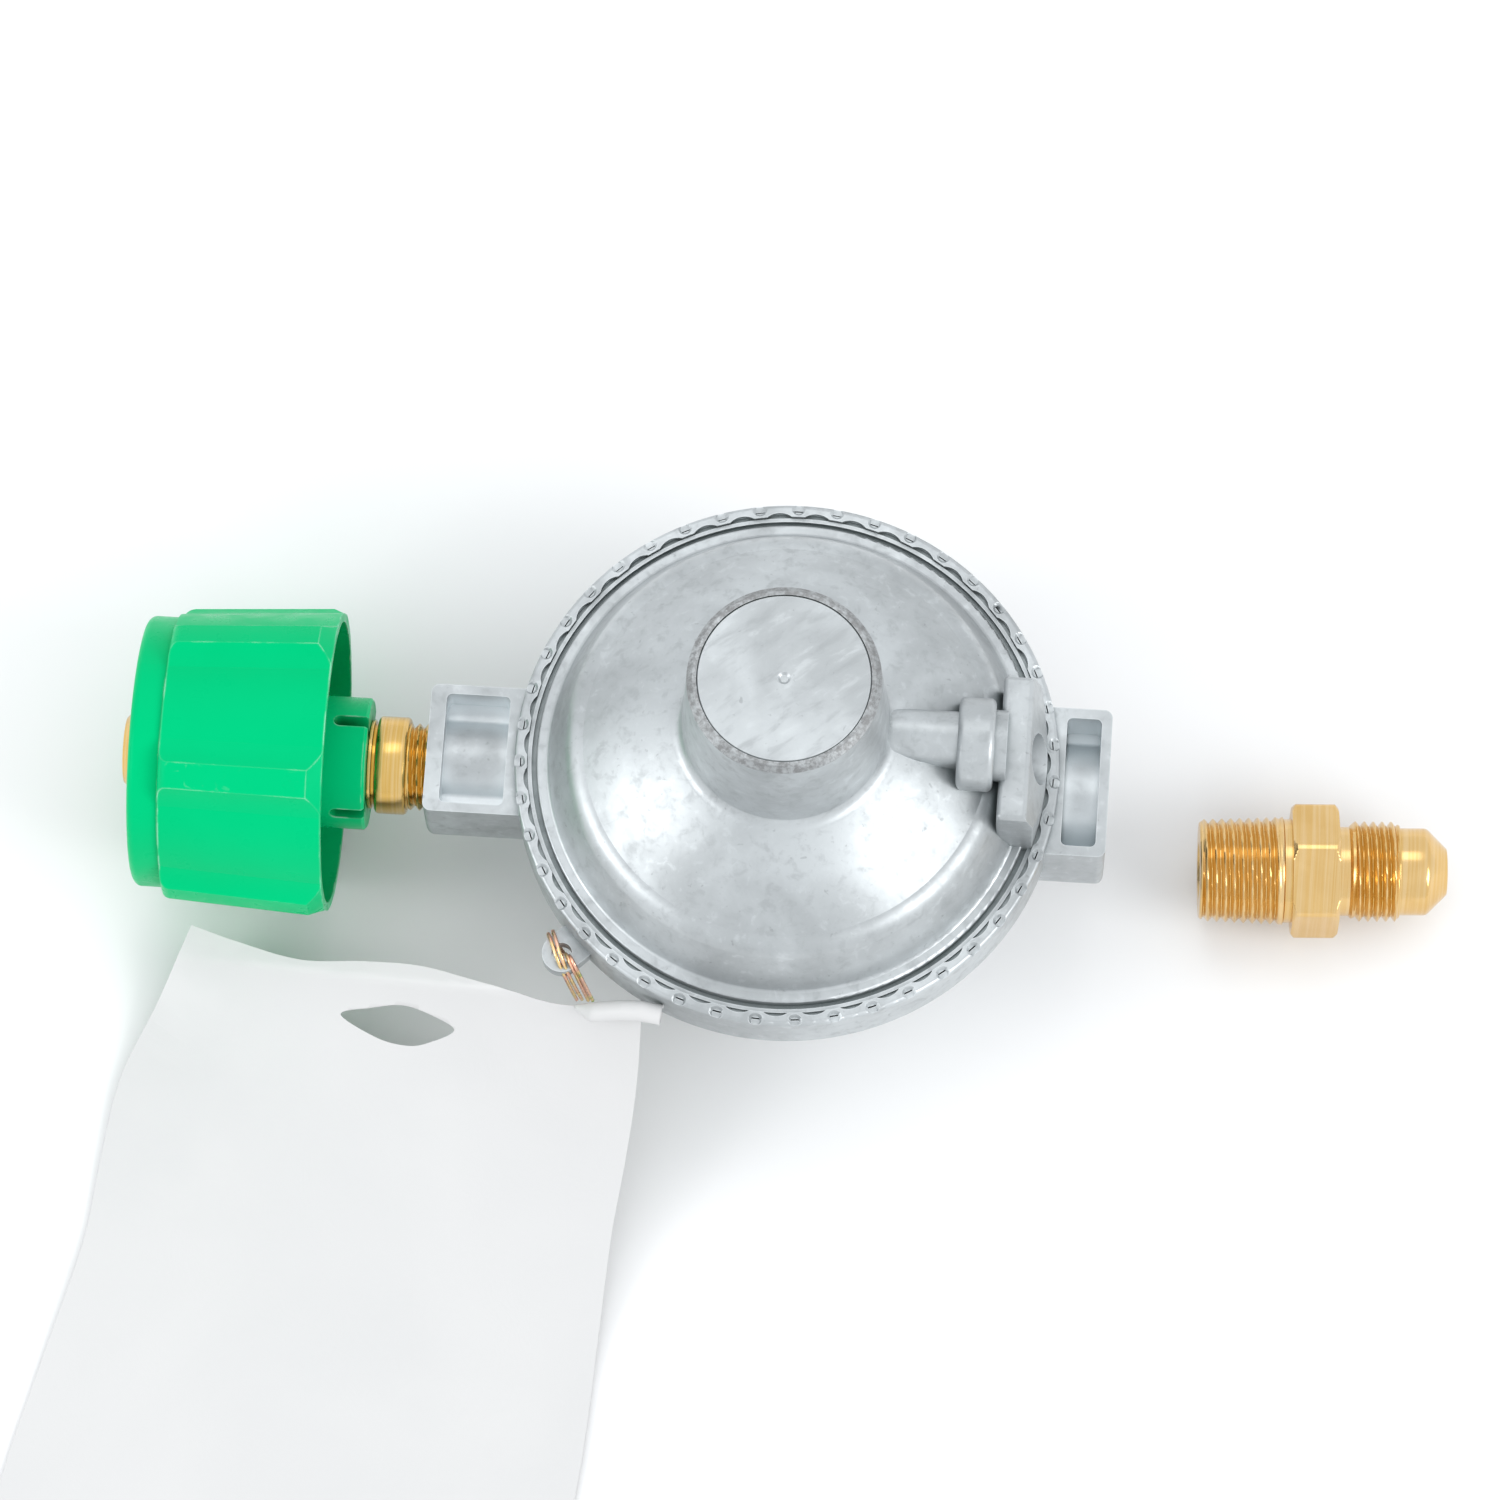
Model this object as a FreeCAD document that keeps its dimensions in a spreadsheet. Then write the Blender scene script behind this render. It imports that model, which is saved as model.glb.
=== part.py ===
import FreeCAD, Part
import math
import os
from types import SimpleNamespace

import Sketcher

V = FreeCAD.Vector

# Driving dimensions in millimetres and degrees. They go into the document's sheet, and every sketch
# and feature is tied to it. X runs from the inlet to the outlet, Z up the tower, the foot is at Z = 0.
SIZES = [
    # heights and radii that several pieces share
    ("port_height", 25.4),
    ("seat_height", 36.7),
    ("diaphragm_thick", 0.5),
    ("running_fit", 0.05),
    # casing cup
    ("foot_radius", 27.0),
    ("foot_round", 5.5),
    ("waist_radius", 39.0),
    ("waist_height", 29.0),
    ("rim_radius", 42.5),
    ("rim_bottom", 30.4),
    ("rim_height", 39.4),
    ("rim_round", 0.7),
    ("seat_radius", 41.6),
    ("chamber_radius", 36.0),
    ("chamber_shoulder_radius", 35.6),
    ("chamber_floor_radius", 29.6),
    ("chamber_floor", 4.0),
    ("chamber_round", 3.0),
    # staked lip that holds the cover down
    ("lip_radius", 40.5),
    ("lip_height", 38.8),
    ("stake_count", 43),
    ("stake_turn", 3.3),
    ("notch_place", 37.9),
    ("notch_radius", 3.2),
    # inlet boss: a walled well around the port tube
    ("inlet_face", -56.4),
    ("inlet_half", 10.4),
    ("inlet_top", 36.4),
    ("inlet_wall", 1.5),
    ("inlet_front_wall", 2.5),
    ("inlet_well_end", -43.9),
    ("inlet_tube_radius", 8.2),
    ("inlet_bore", 6.9),
    ("inlet_bore_end", -44.4),
    ("inlet_well_floor", 31.0),
    ("boss_round", 1.3),
    ("well_round", 0.9),
    # outlet boss
    ("outlet_face", 50.2),
    ("outlet_half", 12.0),
    ("outlet_top", 38.0),
    ("outlet_wall", 1.6),
    ("outlet_well_start", 43.2),
    ("outlet_tube_radius", 9.6),
    ("outlet_bore", 7.45),
    ("outlet_bore_end", 37.0),
    ("outlet_well_floor", 30.0),
    # valve boss inside the chamber
    ("valve_boss_radius", 8.0),
    ("valve_boss_end", -21.0),
    ("boss_root", 36.4),
    ("orifice_seat", -40.0),
    ("orifice_radius", 4.5),
    ("guide_start", -32.0),
    ("guide_radius", 5.0),
    ("gas_way", 3.0),
    ("window_start", -31.2),
    ("window_end", -28.4),
    ("window_half", 3.0),
    # lever pin and its posts
    ("pin_place", -18.0),
    ("pin_height", 18.4),
    ("pin_radius", 1.25),
    ("post_half_length", 3.5),
    ("post_inner", 7.2),
    ("post_outer", 11.0),
    ("post_top", 22.5),
    # hanging lug
    ("lug_turn", -136.4),
    ("lug_reach", 45.6),
    ("lug_radius", 3.1),
    ("lug_root", 42.0),
    ("lug_bottom", 31.5),
    ("lug_thick", 2.5),
    ("lug_hole", 1.6),
    # cover
    ("flange_radius", 41.4),
    ("gap_outer", 41.0),
    ("gap_inner", 40.4),
    ("gap_depth", 0.5),
    ("groove_outer", 39.8),
    ("groove_depth", 1.1),
    ("bead_outer", 39.0),
    ("bead_inner", 37.6),
    ("bead_height", 39.6),
    ("shoulder_foot_radius", 37.0),
    ("shoulder_radius", 34.3),
    ("shoulder_height", 47.5),
    ("dome_radius", 31.4),
    ("dome_height", 50.0),
    ("crown_radius", 17.6),
    ("crown_height", 58.5),
    ("tower_foot_radius", 15.9),
    ("tower_foot_height", 60.3),
    ("tower_radius", 14.75),
    ("tower_height", 81.0),
    ("tower_bevel", 0.9),
    ("tower_bore", 12.4),
    ("cap_radius", 13.2),
    ("cap_seat", 79.6),
    ("cover_wall_radius", 35.5),
    # vent on the cover
    ("vent_axis", 54.0),
    ("horn_radius", 4.2),
    ("horn_height", 56.2),
    ("horn_bottom", 50.0),
    ("vent_drum_radius", 7.2),
    ("vent_drum_round", 1.0),
    ("vent_drum_start", 26.4),
    ("vent_drum_end", 32.1),
    ("vent_neck_radius", 5.5),
    ("block_start", 33.0),
    ("block_half", 11.6),
    ("block_top", 53.6),
    ("block_reach", 40.4),
    ("block_flat_end", 37.5),
    ("block_slope_foot", 41.5),
    ("block_round", 0.8),
    ("vent_hole_height", 48.4),
    ("vent_hole_radius", 4.0),
    ("screen_place", 36.2),
    # main spring, its seat and adjusting screw
    ("spring_radius", 10.5),
    ("spring_wire", 2.0),
    ("spring_turns", 7),
    ("screw_bottom", 66.0),
    ("screw_thick", 6.0),
    ("plate_radius", 24.0),
    ("plate_thick", 1.2),
    ("plateau_height", 35.7),
    ("plateau_radius", 27.5),
    # stem of the diaphragm
    ("stem_radius", 3.0),
    ("stem_top", 50.0),
    ("pusher_head_radius", 9.0),
    ("pusher_head_bottom", 33.5),
    ("fork_bottom", 24.0),
    ("fork_half_length", 2.0),
    ("fork_half_width", 5.0),
    ("arm_height", 27.0),
    ("arm_tip_radius", 1.2),
    ("relief_radius", 4.9),
    ("relief_wire", 0.8),
    ("relief_turns", 5),
    ("relief_nut_height", 46.0),
    ("relief_nut_thick", 2.2),
    # lever
    ("lever_hub_radius", 2.4),
    ("lever_hub_half", 6.8),
    ("lever_half_width", 3.0),
    ("lever_thick", 1.5),
    ("arm_bend", 6.2),
    ("arm_climb", 6.0),
    ("arm_miter", 0.4),
    ("tongue_half_thick", 0.8),
    ("tongue_tip_radius", 1.6),
    ("tongue_half_width", 1.5),
    # sliding valve
    ("holder_face", -26.6),
    ("disc_face", -26.8),
    ("disc_back", -24.8),
    ("disc_radius", 3.35),
    ("holder_head_end", -21.5),
    ("holder_tail_end", -14.0),
    ("holder_tail_radius", 3.5),
    ("nozzle_tip", -28.0),
    # inlet nipple
    ("probe_tip", -104.6),
    ("probe_radius", 7.0),
    ("probe_tip_radius", 5.2),
    ("shoulder_front", -88.0),
    ("shoulder_back", -86.05),
    ("nipple_shoulder_radius", 9.5),
    ("nipple_stem_radius", 6.25),
    ("nipple_collar_front", -65.95),
    ("nipple_collar_back", -65.3),
    ("nipple_ring_front", -64.8),
    ("nipple_ring_back", -59.8),
    ("nipple_ring_radius", 7.7),
    ("nipple_thread_radius", 6.86),
    ("nipple_bore", 2.6),
    ("poppet_bore", 4.2),
    ("poppet_seat", -90.0),
    # excess flow valve in the nipple
    ("poppet_flange_back", -94.0),
    ("poppet_flange_thick", 1.0),
    ("poppet_stem_radius", 1.2),
    ("flow_spring_radius", 3.15),
    ("flow_spring_wire", 0.5),
    ("flow_spring_turns", 3),
    ("retainer_front", -103.9),
    ("retainer_thick", 1.5),
    # coupling nut
    ("nut_turn", -22.0),
    ("nut_front", -102.0),
    ("collar_back", -97.0),
    ("skirt_end", -71.4),
    ("hub_end", -66.0),
    ("collar_radius", 21.35),
    ("skirt_front_radius", 21.9),
    ("skirt_end_radius", 23.5),
    ("skirt_bore", 22.2),
    ("web_front", -86.0),
    ("web_back", -83.0),
    ("thread_bore", 16.67),
    ("hub_radius", 10.4),
    ("ridge_count", 6),
    ("ridge_turn", -12.0),
    ("ridge_rise", 1.9),
    ("ridge_land_half", 5.0),
    ("ridge_foot_half", 16.5),
    ("ridge_flank_radius", 14.0),
    ("ridge_round", 1.6),
    ("ridge_bevel_long", 2.5),
    ("ridge_bevel_high", 1.7),
    ("slot_count", 4),
    ("slot_width", 2.0),
    # loose adapter
    ("adapter_x", 65.5),
    ("adapter_y", -4.9),
    ("adapter_turn", 3.1),
    ("adapter_roll", -26.0),
    ("adapter_height", 10.97),
    ("adapter_length", 39.2),
    ("hex_start", 14.6),
    ("hex_length", 7.4),
    ("hex_flats", 19.05),
    ("taper_tip_radius", 8.1),
    ("taper_root_radius", 8.57),
    ("neck_radius", 7.05),
    ("flare_radius", 7.94),
    ("flare_start", 24.6),
    ("flare_end", 31.7),
    ("nose_radius", 6.9),
    ("nose_end", 36.0),
    ("adapter_bore", 3.9),
    # wire loop and tag
    ("wire_radius", 0.45),
    ("tag_turn", -8.0),
    ("tag_left", -99.5),
    ("tag_right", -11.0),
    ("tag_left_top", -90.0),
    ("tag_end", -148.0),
    ("tag_left_lift", 5.0),
    ("tag_left_edge", -35.3),
    ("tag_right_lift", 33.5),
    ("tag_right_edge", -41.5),
    ("tag_thick", 0.4),
    ("tag_edge_thick", 0.9),
    ("tag_curl", 60.0),
    ("hanger_left", -61.5),
    ("hanger_left_place", -48.5),
    ("hanger_right", -43.5),
    ("hanger_right_place", -50.0),
    ("hanger_radius", 14.0),
]


# How much of the shorter leg each bend of the wire takes up
BEND_SHARE = 0.45


class Size:
    """A length or angle, with the formula that the sheet works it out by."""

    def __init__(self, value, text):
        self.value = value
        self.text = text

    def __add__(self, other):
        other = size(other)
        return Size(self.value + other.value, "(%s + %s)" % (self.text, other.text))

    def __sub__(self, other):
        other = size(other)
        return Size(self.value - other.value, "(%s - %s)" % (self.text, other.text))

    def __mul__(self, factor):
        return Size(self.value * factor, "(%s * %s)" % (self.text, factor))

    def __truediv__(self, divisor):
        return Size(self.value / divisor, "(%s / %s)" % (self.text, divisor))

    def __neg__(self):
        return Size(-self.value, "(0 - %s)" % self.text)


def size(number):
    """A plain number as a Size."""
    if isinstance(number, Size):
        return number
    return Size(float(number), "(%s)" % float(number))


doc = FreeCAD.newDocument("Regulator")
sheet = doc.addObject("Spreadsheet::Sheet", "Sizes")
s = SimpleNamespace()
for row, (alias, number) in enumerate(SIZES, 1):
    sheet.set("A%d" % row, alias)
    sheet.set("B%d" % row, str(number))
    sheet.setAlias("B%d" % row, alias)
    setattr(s, alias, Size(float(number), "Sizes." + alias))
doc.recompute()
pieces = []


# Sketches

def bind(thing, path, amount):
    """Tie a property to the sheet where its size comes from there."""
    if isinstance(amount, Size):
        thing.setExpression(path, amount.text)


def new_body(label, **placement):
    """A sub-part's body. placement may give x, y, z and a turn about Z or about X."""
    body = doc.addObject("PartDesign::Body", label)
    body.Label = label
    axis = V(1, 0, 0) if "turn_x" in placement else V(0, 0, 1)
    angle = size(placement.get("turn_x", placement.get("turn_z", 0)))
    place = [size(placement.get(name, 0)) for name in "xyz"]
    base = V(*[amount.value for amount in place])
    body.Placement = FreeCAD.Placement(base, FreeCAD.Rotation(axis, angle.value))
    for name in "xyz":
        if name in placement:
            bind(body, "Placement.Base." + name, placement[name])
    pieces.append(body)
    return body


def origin_part(body, role):
    """One of the body's own origin planes or axes."""
    return [part for part in body.Origin.OriginFeatures if part.Role == role][0]


def sketch(body, name, plane, rise=0, up=0, turn=0):
    """A sketch on an origin plane: XY faces up, XZ faces -Y, YZ faces +X.

    rise moves it along the way it faces, up moves its centre along its own y, turn spins it.
    """
    drawing = body.newObject("Sketcher::SketchObject", name)
    drawing.AttachmentSupport = [(origin_part(body, plane + "_Plane"), "")]
    drawing.MapMode = "FlatFace"
    base = V(0, size(up).value, size(rise).value)
    spin = FreeCAD.Rotation(V(0, 0, 1), size(turn).value)
    drawing.AttachmentOffset = FreeCAD.Placement(base, spin)
    bind(drawing, "AttachmentOffset.Base.y", up)
    bind(drawing, "AttachmentOffset.Base.z", rise)
    return drawing


def fix(drawing, kind, *where):
    """A dimension in a sketch: the last argument is its size."""
    amount = size(where[-1])
    index = drawing.addConstraint(Sketcher.Constraint(kind, *where[:-1], amount.value))
    if amount.text.find("Sizes.") >= 0:
        drawing.setExpression("Constraints[%d]" % index, amount.text)


def angle_of(centre, point):
    return math.atan2(point.y - centre.y, point.x - centre.x)


def outline(drawing, points):
    """A closed outline. A point is (x, y), or (x, y, r) where an arc of radius r leads to it.

    The arc bends left where r is positive, and right where it is negative.
    """
    corners = [V(size(point[0]).value, size(point[1]).value, 0) for point in points]
    edges = []
    for index, point in enumerate(points):
        start = corners[index - 1]
        end = corners[index]
        if len(point) == 2:
            edge = drawing.addGeometry(Part.LineSegment(start, end), False)
            edges.append((edge, 1, 2))
            continue
        radius = size(point[2])
        half = (end - start) / 2
        rise = math.sqrt(max(radius.value ** 2 - half.Length ** 2, 0))
        side = V(-half.y, half.x, 0).normalize() * math.copysign(rise, radius.value)
        centre = start + half + side
        first, last = (start, end) if radius.value > 0 else (end, start)
        circle = Part.Circle(centre, V(0, 0, 1), abs(radius.value))
        arc = Part.ArcOfCircle(circle, angle_of(centre, first), angle_of(centre, last))
        edge = drawing.addGeometry(arc, False)
        edges.append((edge, 1, 2) if radius.value > 0 else (edge, 2, 1))
        fix(drawing, "Radius", edge, radius if radius.value > 0 else -radius)
    for index, point in enumerate(points):
        edge, _, end = edges[index]
        following, start, _ = edges[(index + 1) % len(points)]
        drawing.addConstraint(Sketcher.Constraint("Coincident", edge, end, following, start))
        fix(drawing, "DistanceX", edge, end, point[0])
        fix(drawing, "DistanceY", edge, end, point[1])
    return drawing


def circle(drawing, x, y, radius):
    """A circle in a sketch."""
    centre = V(size(x).value, size(y).value, 0)
    edge = drawing.addGeometry(Part.Circle(centre, V(0, 0, 1), size(radius).value), False)
    fix(drawing, "Radius", edge, radius)
    fix(drawing, "DistanceX", edge, 3, x)
    fix(drawing, "DistanceY", edge, 3, y)
    return drawing


def rectangle(drawing, left, bottom, right, top):
    return outline(drawing, [(left, bottom), (right, bottom), (right, top), (left, top)])


# Features

def extrude(body, kind, name, drawing, length, backward=False):
    """A Pad grows the way its sketch faces, a Pocket cuts the other way, unless backward."""
    feature = body.newObject("PartDesign::" + kind, name)
    feature.Profile = drawing
    feature.Length = size(length).value
    bind(feature, "Length", length)
    feature.Reversed = backward
    return feature


def revolve(body, kind, name, drawing, axis="V_Axis", angle=360):
    """A Revolution or Groove about the sketch's own vertical or horizontal axis."""
    feature = body.newObject("PartDesign::" + kind, name)
    feature.Profile = drawing
    feature.ReferenceAxis = (drawing, [axis])
    feature.Angle = size(angle).value
    bind(feature, "Angle", angle)
    return feature


def around(body, feature, name, count, axis="Z_Axis"):
    """The same feature again and again around an axis of the body."""
    pattern = body.newObject("PartDesign::PolarPattern", name)
    pattern.Originals = [feature]
    pattern.Axis = (origin_part(body, axis), [""])
    pattern.Angle = 360
    pattern.Occurrences = int(count.value)
    bind(pattern, "Occurrences", count)
    body.Tip = pattern
    return pattern


def lies_at(edge, **places):
    """True where both ends and the middle of an edge have the given x, y, z or reach from the Z axis."""
    middle = edge.valueAt((edge.FirstParameter + edge.LastParameter) / 2)
    for point in [vertex.Point for vertex in edge.Vertexes] + [middle]:
        found = dict(x=point.x, y=point.y, z=point.z, reach=math.hypot(point.x, point.y))
        if any(abs(found[axis] - size(place).value) > 0.01 for axis, place in places.items()):
            return False
    return True


def soften(body, kind, name, amount, *choices):
    """A Fillet or Chamfer on the edges that lie at any of the given places."""
    doc.recompute()
    base = body.Tip
    names = [
        "Edge%d" % number
        for number, edge in enumerate(base.Shape.Edges, 1)
        if any(lies_at(edge, **places) for places in choices)
    ]
    if not names:
        raise ValueError("%s of %s finds no edge" % (name, body.Label))
    feature = body.newObject("PartDesign::" + kind, name)
    feature.Base = (base, names)
    path = "Radius" if kind == "Fillet" else "Size"
    setattr(feature, path, size(amount).value)
    bind(feature, path, amount)
    return feature


def turned(label, points, along="X", **placement):
    """A lathe-turned piece: points are (place along the axis, radius) for X, (radius, height) for Z."""
    body = new_body(label, **placement)
    profile = outline(sketch(body, "Profile", "XZ"), points)
    revolve(body, "Revolution", "Turning", profile, "H_Axis" if along == "X" else "V_Axis")
    return body


# Coils

def biarc(start, start_way, end, end_way):
    """Two arcs that share a tangent, from one point and direction to another."""
    gap = end - start
    ways = start_way + end_way
    bend = 2 * (1 - start_way.dot(end_way))
    reach = gap.dot(ways)
    arm = (math.sqrt(reach ** 2 + bend * gap.dot(gap)) - reach) / bend
    first = start + start_way * arm
    last = end - end_way * arm
    middle = (first + last) / 2
    way = (last - first).normalize()
    return [tangent_arc(start, start_way, middle), tangent_arc(middle, way, end)]


def tangent_arc(start, way, end):
    """The arc that leaves start in the given direction and ends at end."""
    chord = end - start
    along = V(chord).normalize()
    across = way - along * way.dot(along)
    turn = math.atan2(across.Length, way.dot(along))
    top = start + chord / 2 + across.normalize() * (chord.Length / 2 * math.tan(turn / 2))
    return Part.Arc(start, top, end).toShape()


def coil_point(radius, rise, turn):
    """Place and direction on a helix about Z, turn in radians, rise per turn."""
    place = V(radius * math.cos(turn), radius * math.sin(turn), rise * turn / (2 * math.pi))
    way = V(-radius * math.sin(turn), radius * math.cos(turn), rise / (2 * math.pi))
    return place, way.normalize()


def coil(label, radius, wire, length, turns, placement):
    """A coil spring of round wire as one tube, its length measured over the wire."""
    rise = (length.value - wire.value) / turns.value
    steps = int(turns.value * 4)
    edges = []
    for step in range(steps):
        start, start_way = coil_point(radius.value, rise, step * math.pi / 2)
        end, end_way = coil_point(radius.value, rise, (step + 1) * math.pi / 2)
        edges += biarc(start, start_way, end, end_way)
    first, way = coil_point(radius.value, rise, 0)
    ring = Part.Wire([Part.makeCircle(wire.value / 2, first, way)])
    piece = doc.addObject("Part::Feature", label)
    piece.Label = label
    piece.Shape = Part.Wire(edges).makePipeShell([ring], True, False)
    piece.Placement = placement
    pieces.append(piece)
    samples = [coil_point(radius.value, rise, n * math.pi / 24)[0] for n in range(steps * 12 + 1)]
    apart = min((samples[i] - samples[i + n]).Length for i in range(0, 48) for n in range(36, 61))
    print("%s: least gap to itself %.2f mm" % (label, apart - wire.value))


# Casing

def lower_casing():
    """The cast cup with its two port bosses, valve boss, pin posts, lug and staked lip."""
    body = new_body("lower_casing")
    cup = outline(sketch(body, "CupProfile", "XZ"), [
        (0, 0),
        (s.foot_radius, 0),
        (s.foot_radius + s.foot_round, s.foot_round, s.foot_round),
        (s.waist_radius, s.waist_height),
        (s.rim_radius - 1, s.rim_bottom - 1),
        (s.rim_radius, s.rim_bottom, 1.0),
        (s.rim_radius, s.rim_height - s.rim_round),
        (s.rim_radius - s.rim_round, s.rim_height, s.rim_round),
        (0, s.rim_height),
    ])
    revolve(body, "Revolution", "Cup", cup)
    port_bosses(body)
    hollow = outline(sketch(body, "ChamberProfile", "XZ"), [
        (0, s.chamber_floor),
        (s.chamber_floor_radius - s.chamber_round, s.chamber_floor),
        (s.chamber_floor_radius, s.chamber_floor + s.chamber_round, s.chamber_round),
        (s.chamber_shoulder_radius, s.waist_height),
        (s.chamber_radius, s.seat_height),
        (s.seat_radius, s.seat_height),
        (s.seat_radius, s.lip_height),
        (s.lip_radius, s.lip_height),
        (s.lip_radius, s.rim_height + 1),
        (0, s.rim_height + 1),
    ])
    revolve(body, "Groove", "Chamber", hollow)
    valve_boss(body)
    hanging_lug(body)
    staked_lip(body)
    return body


def boss_outline(drawing, half, top):
    """A boss seen along the port axis: flat top, straight sides, round underside."""
    return outline(drawing, [
        (half, top),
        (-half, top),
        (-half, 0),
        (0, -half, half),
        (half, 0, half),
    ])


def port_bosses(body):
    """Both bosses with their open wells around the port tubes."""
    inlet = boss_outline(
        sketch(body, "InletBossOutline", "YZ", s.inlet_face, s.port_height),
        s.inlet_half, s.inlet_top - s.port_height,
    )
    extrude(body, "Pad", "InletBoss", inlet, -s.inlet_face - s.boss_root)
    outlet = boss_outline(
        sketch(body, "OutletBossOutline", "YZ", s.outlet_face, s.port_height),
        s.outlet_half, s.outlet_top - s.port_height,
    )
    extrude(body, "Pad", "OutletBoss", outlet, s.outlet_face - s.boss_root, backward=True)
    corners = [
        dict(x=face, y=side)
        for face, half in ((s.inlet_face, s.inlet_half), (s.outlet_face, s.outlet_half))
        for side in (half, -half)
    ]
    soften(body, "Fillet", "BossCorners", s.boss_round, *corners)
    inlet_inside = s.inlet_half - s.inlet_wall
    outlet_inside = s.outlet_half - s.outlet_wall
    well(body, "Inlet", s.inlet_face + s.inlet_front_wall, s.inlet_well_end, inlet_inside, s.inlet_top,
         s.inlet_well_floor)
    well(body, "Outlet", s.outlet_well_start, s.outlet_face - s.outlet_wall, outlet_inside, s.outlet_top,
         s.outlet_well_floor)
    tubes = [
        ("Inlet", s.inlet_face, s.inlet_tube_radius, -s.inlet_face - s.boss_root, False,
         s.inlet_well_floor),
        ("Outlet", s.outlet_face, s.outlet_tube_radius, s.outlet_face - s.boss_root, True,
         s.outlet_well_floor),
    ]
    for name, face, radius, length, backward, floor in tubes:
        ring = circle(sketch(body, name + "TubeOutline", "YZ", face, s.port_height), 0, 0, radius)
        extrude(body, "Pad", name + "Tube", ring, length, backward)
        rise = floor - s.port_height
        side = math.sqrt(radius.value ** 2 - rise.value ** 2)
        soften(
            body, "Fillet", name + "WellRoots", s.well_round, dict(y=side, z=floor), dict(y=-side, z=floor)
        )


def well(body, name, start, end, half, top, floor):
    """An open well in the top of a boss, with soft corners."""
    mouth = rectangle(sketch(body, name + "WellOutline", "XY", top), start, -half, end, half)
    extrude(body, "Pocket", name + "Well", mouth, top - floor)
    corners = [dict(x=place, y=side) for place in (start, end) for side in (half, -half)]
    soften(body, "Fillet", name + "WellCorners", s.well_round, *corners)


def valve_boss(body):
    """The boss that guides the sliding valve, the gas ways through it, and the posts of the pin."""
    ring = circle(
        sketch(body, "ValveBossOutline", "YZ", s.valve_boss_end, s.port_height), 0, 0, s.valve_boss_radius
    )
    extrude(body, "Pad", "ValveBoss", ring, s.valve_boss_end + s.boss_root, backward=True)
    for name, near, far in (("Front", -s.post_outer, -s.post_inner), ("Rear", s.post_inner, s.post_outer)):
        foot = rectangle(
            sketch(body, name + "PostOutline", "XY", s.chamber_floor - 1),
            s.pin_place - s.post_half_length, near, s.pin_place + s.post_half_length, far,
        )
        extrude(body, "Pad", name + "Post", foot, s.post_top - s.chamber_floor + 1)
    inlet_way = outline(sketch(body, "InletBoreProfile", "XZ", 0, s.port_height), [
        (s.inlet_face - 1, 0),
        (s.valve_boss_end + 1, 0),
        (s.valve_boss_end + 1, s.guide_radius),
        (s.guide_start, s.guide_radius),
        (s.guide_start, s.orifice_radius),
        (s.orifice_seat, s.orifice_radius),
        (s.orifice_seat, s.gas_way),
        (s.inlet_bore_end, s.gas_way),
        (s.inlet_bore_end, s.inlet_bore),
        (s.inlet_face - 1, s.inlet_bore),
    ])
    revolve(body, "Groove", "InletBore", inlet_way, "H_Axis")
    outlet_way = outline(sketch(body, "OutletBoreProfile", "XZ", 0, s.port_height), [
        (s.chamber_floor_radius, 0),
        (s.outlet_face + 1, 0),
        (s.outlet_face + 1, s.outlet_bore),
        (s.outlet_bore_end, s.outlet_bore),
        (s.outlet_bore_end, s.guide_radius),
        (s.chamber_floor_radius, s.guide_radius),
    ])
    revolve(body, "Groove", "OutletBore", outlet_way, "H_Axis")
    window = rectangle(
        sketch(body, "WindowOutline", "XZ", -s.valve_boss_radius - 1, s.port_height),
        s.window_start, -s.window_half, s.window_end, s.window_half,
    )
    extrude(body, "Pocket", "GasWindows", window, (s.valve_boss_radius + 1) * 2, backward=True)
    hole = circle(
        sketch(body, "PinHoleOutline", "XZ", -s.post_outer - 1), s.pin_place, s.pin_height, s.pin_radius
    )
    extrude(body, "Pocket", "PinHoles", hole, (s.post_outer + 1) * 2, backward=True)


def hanging_lug(body):
    """The cast ear under the rim with its hole."""
    ear = outline(sketch(body, "LugOutline", "XY", s.lug_bottom, 0, s.lug_turn), [
        (s.lug_root, -s.lug_radius),
        (s.lug_reach, -s.lug_radius),
        (s.lug_reach + s.lug_radius, 0, s.lug_radius),
        (s.lug_reach, s.lug_radius, s.lug_radius),
        (s.lug_root, s.lug_radius),
    ])
    extrude(body, "Pad", "Lug", ear, s.lug_thick)
    hole = circle(
        sketch(body, "LugHoleOutline", "XY", s.lug_bottom + s.lug_thick, 0, s.lug_turn),
        s.lug_reach, 0, s.lug_hole,
    )
    extrude(body, "Pocket", "LugHole", hole, s.lug_thick)


def staked_lip(body):
    """The wavy inner edge of the lip, which stands back between the blows of the staking tool."""
    notch = circle(
        sketch(body, "NotchOutline", "XY", s.rim_height, 0, s.stake_turn), s.notch_place, 0, s.notch_radius
    )
    first = extrude(body, "Pocket", "Notch", notch, s.rim_height - s.lip_height)
    around(body, first, "Notches", s.stake_count)


# Cover

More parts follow.
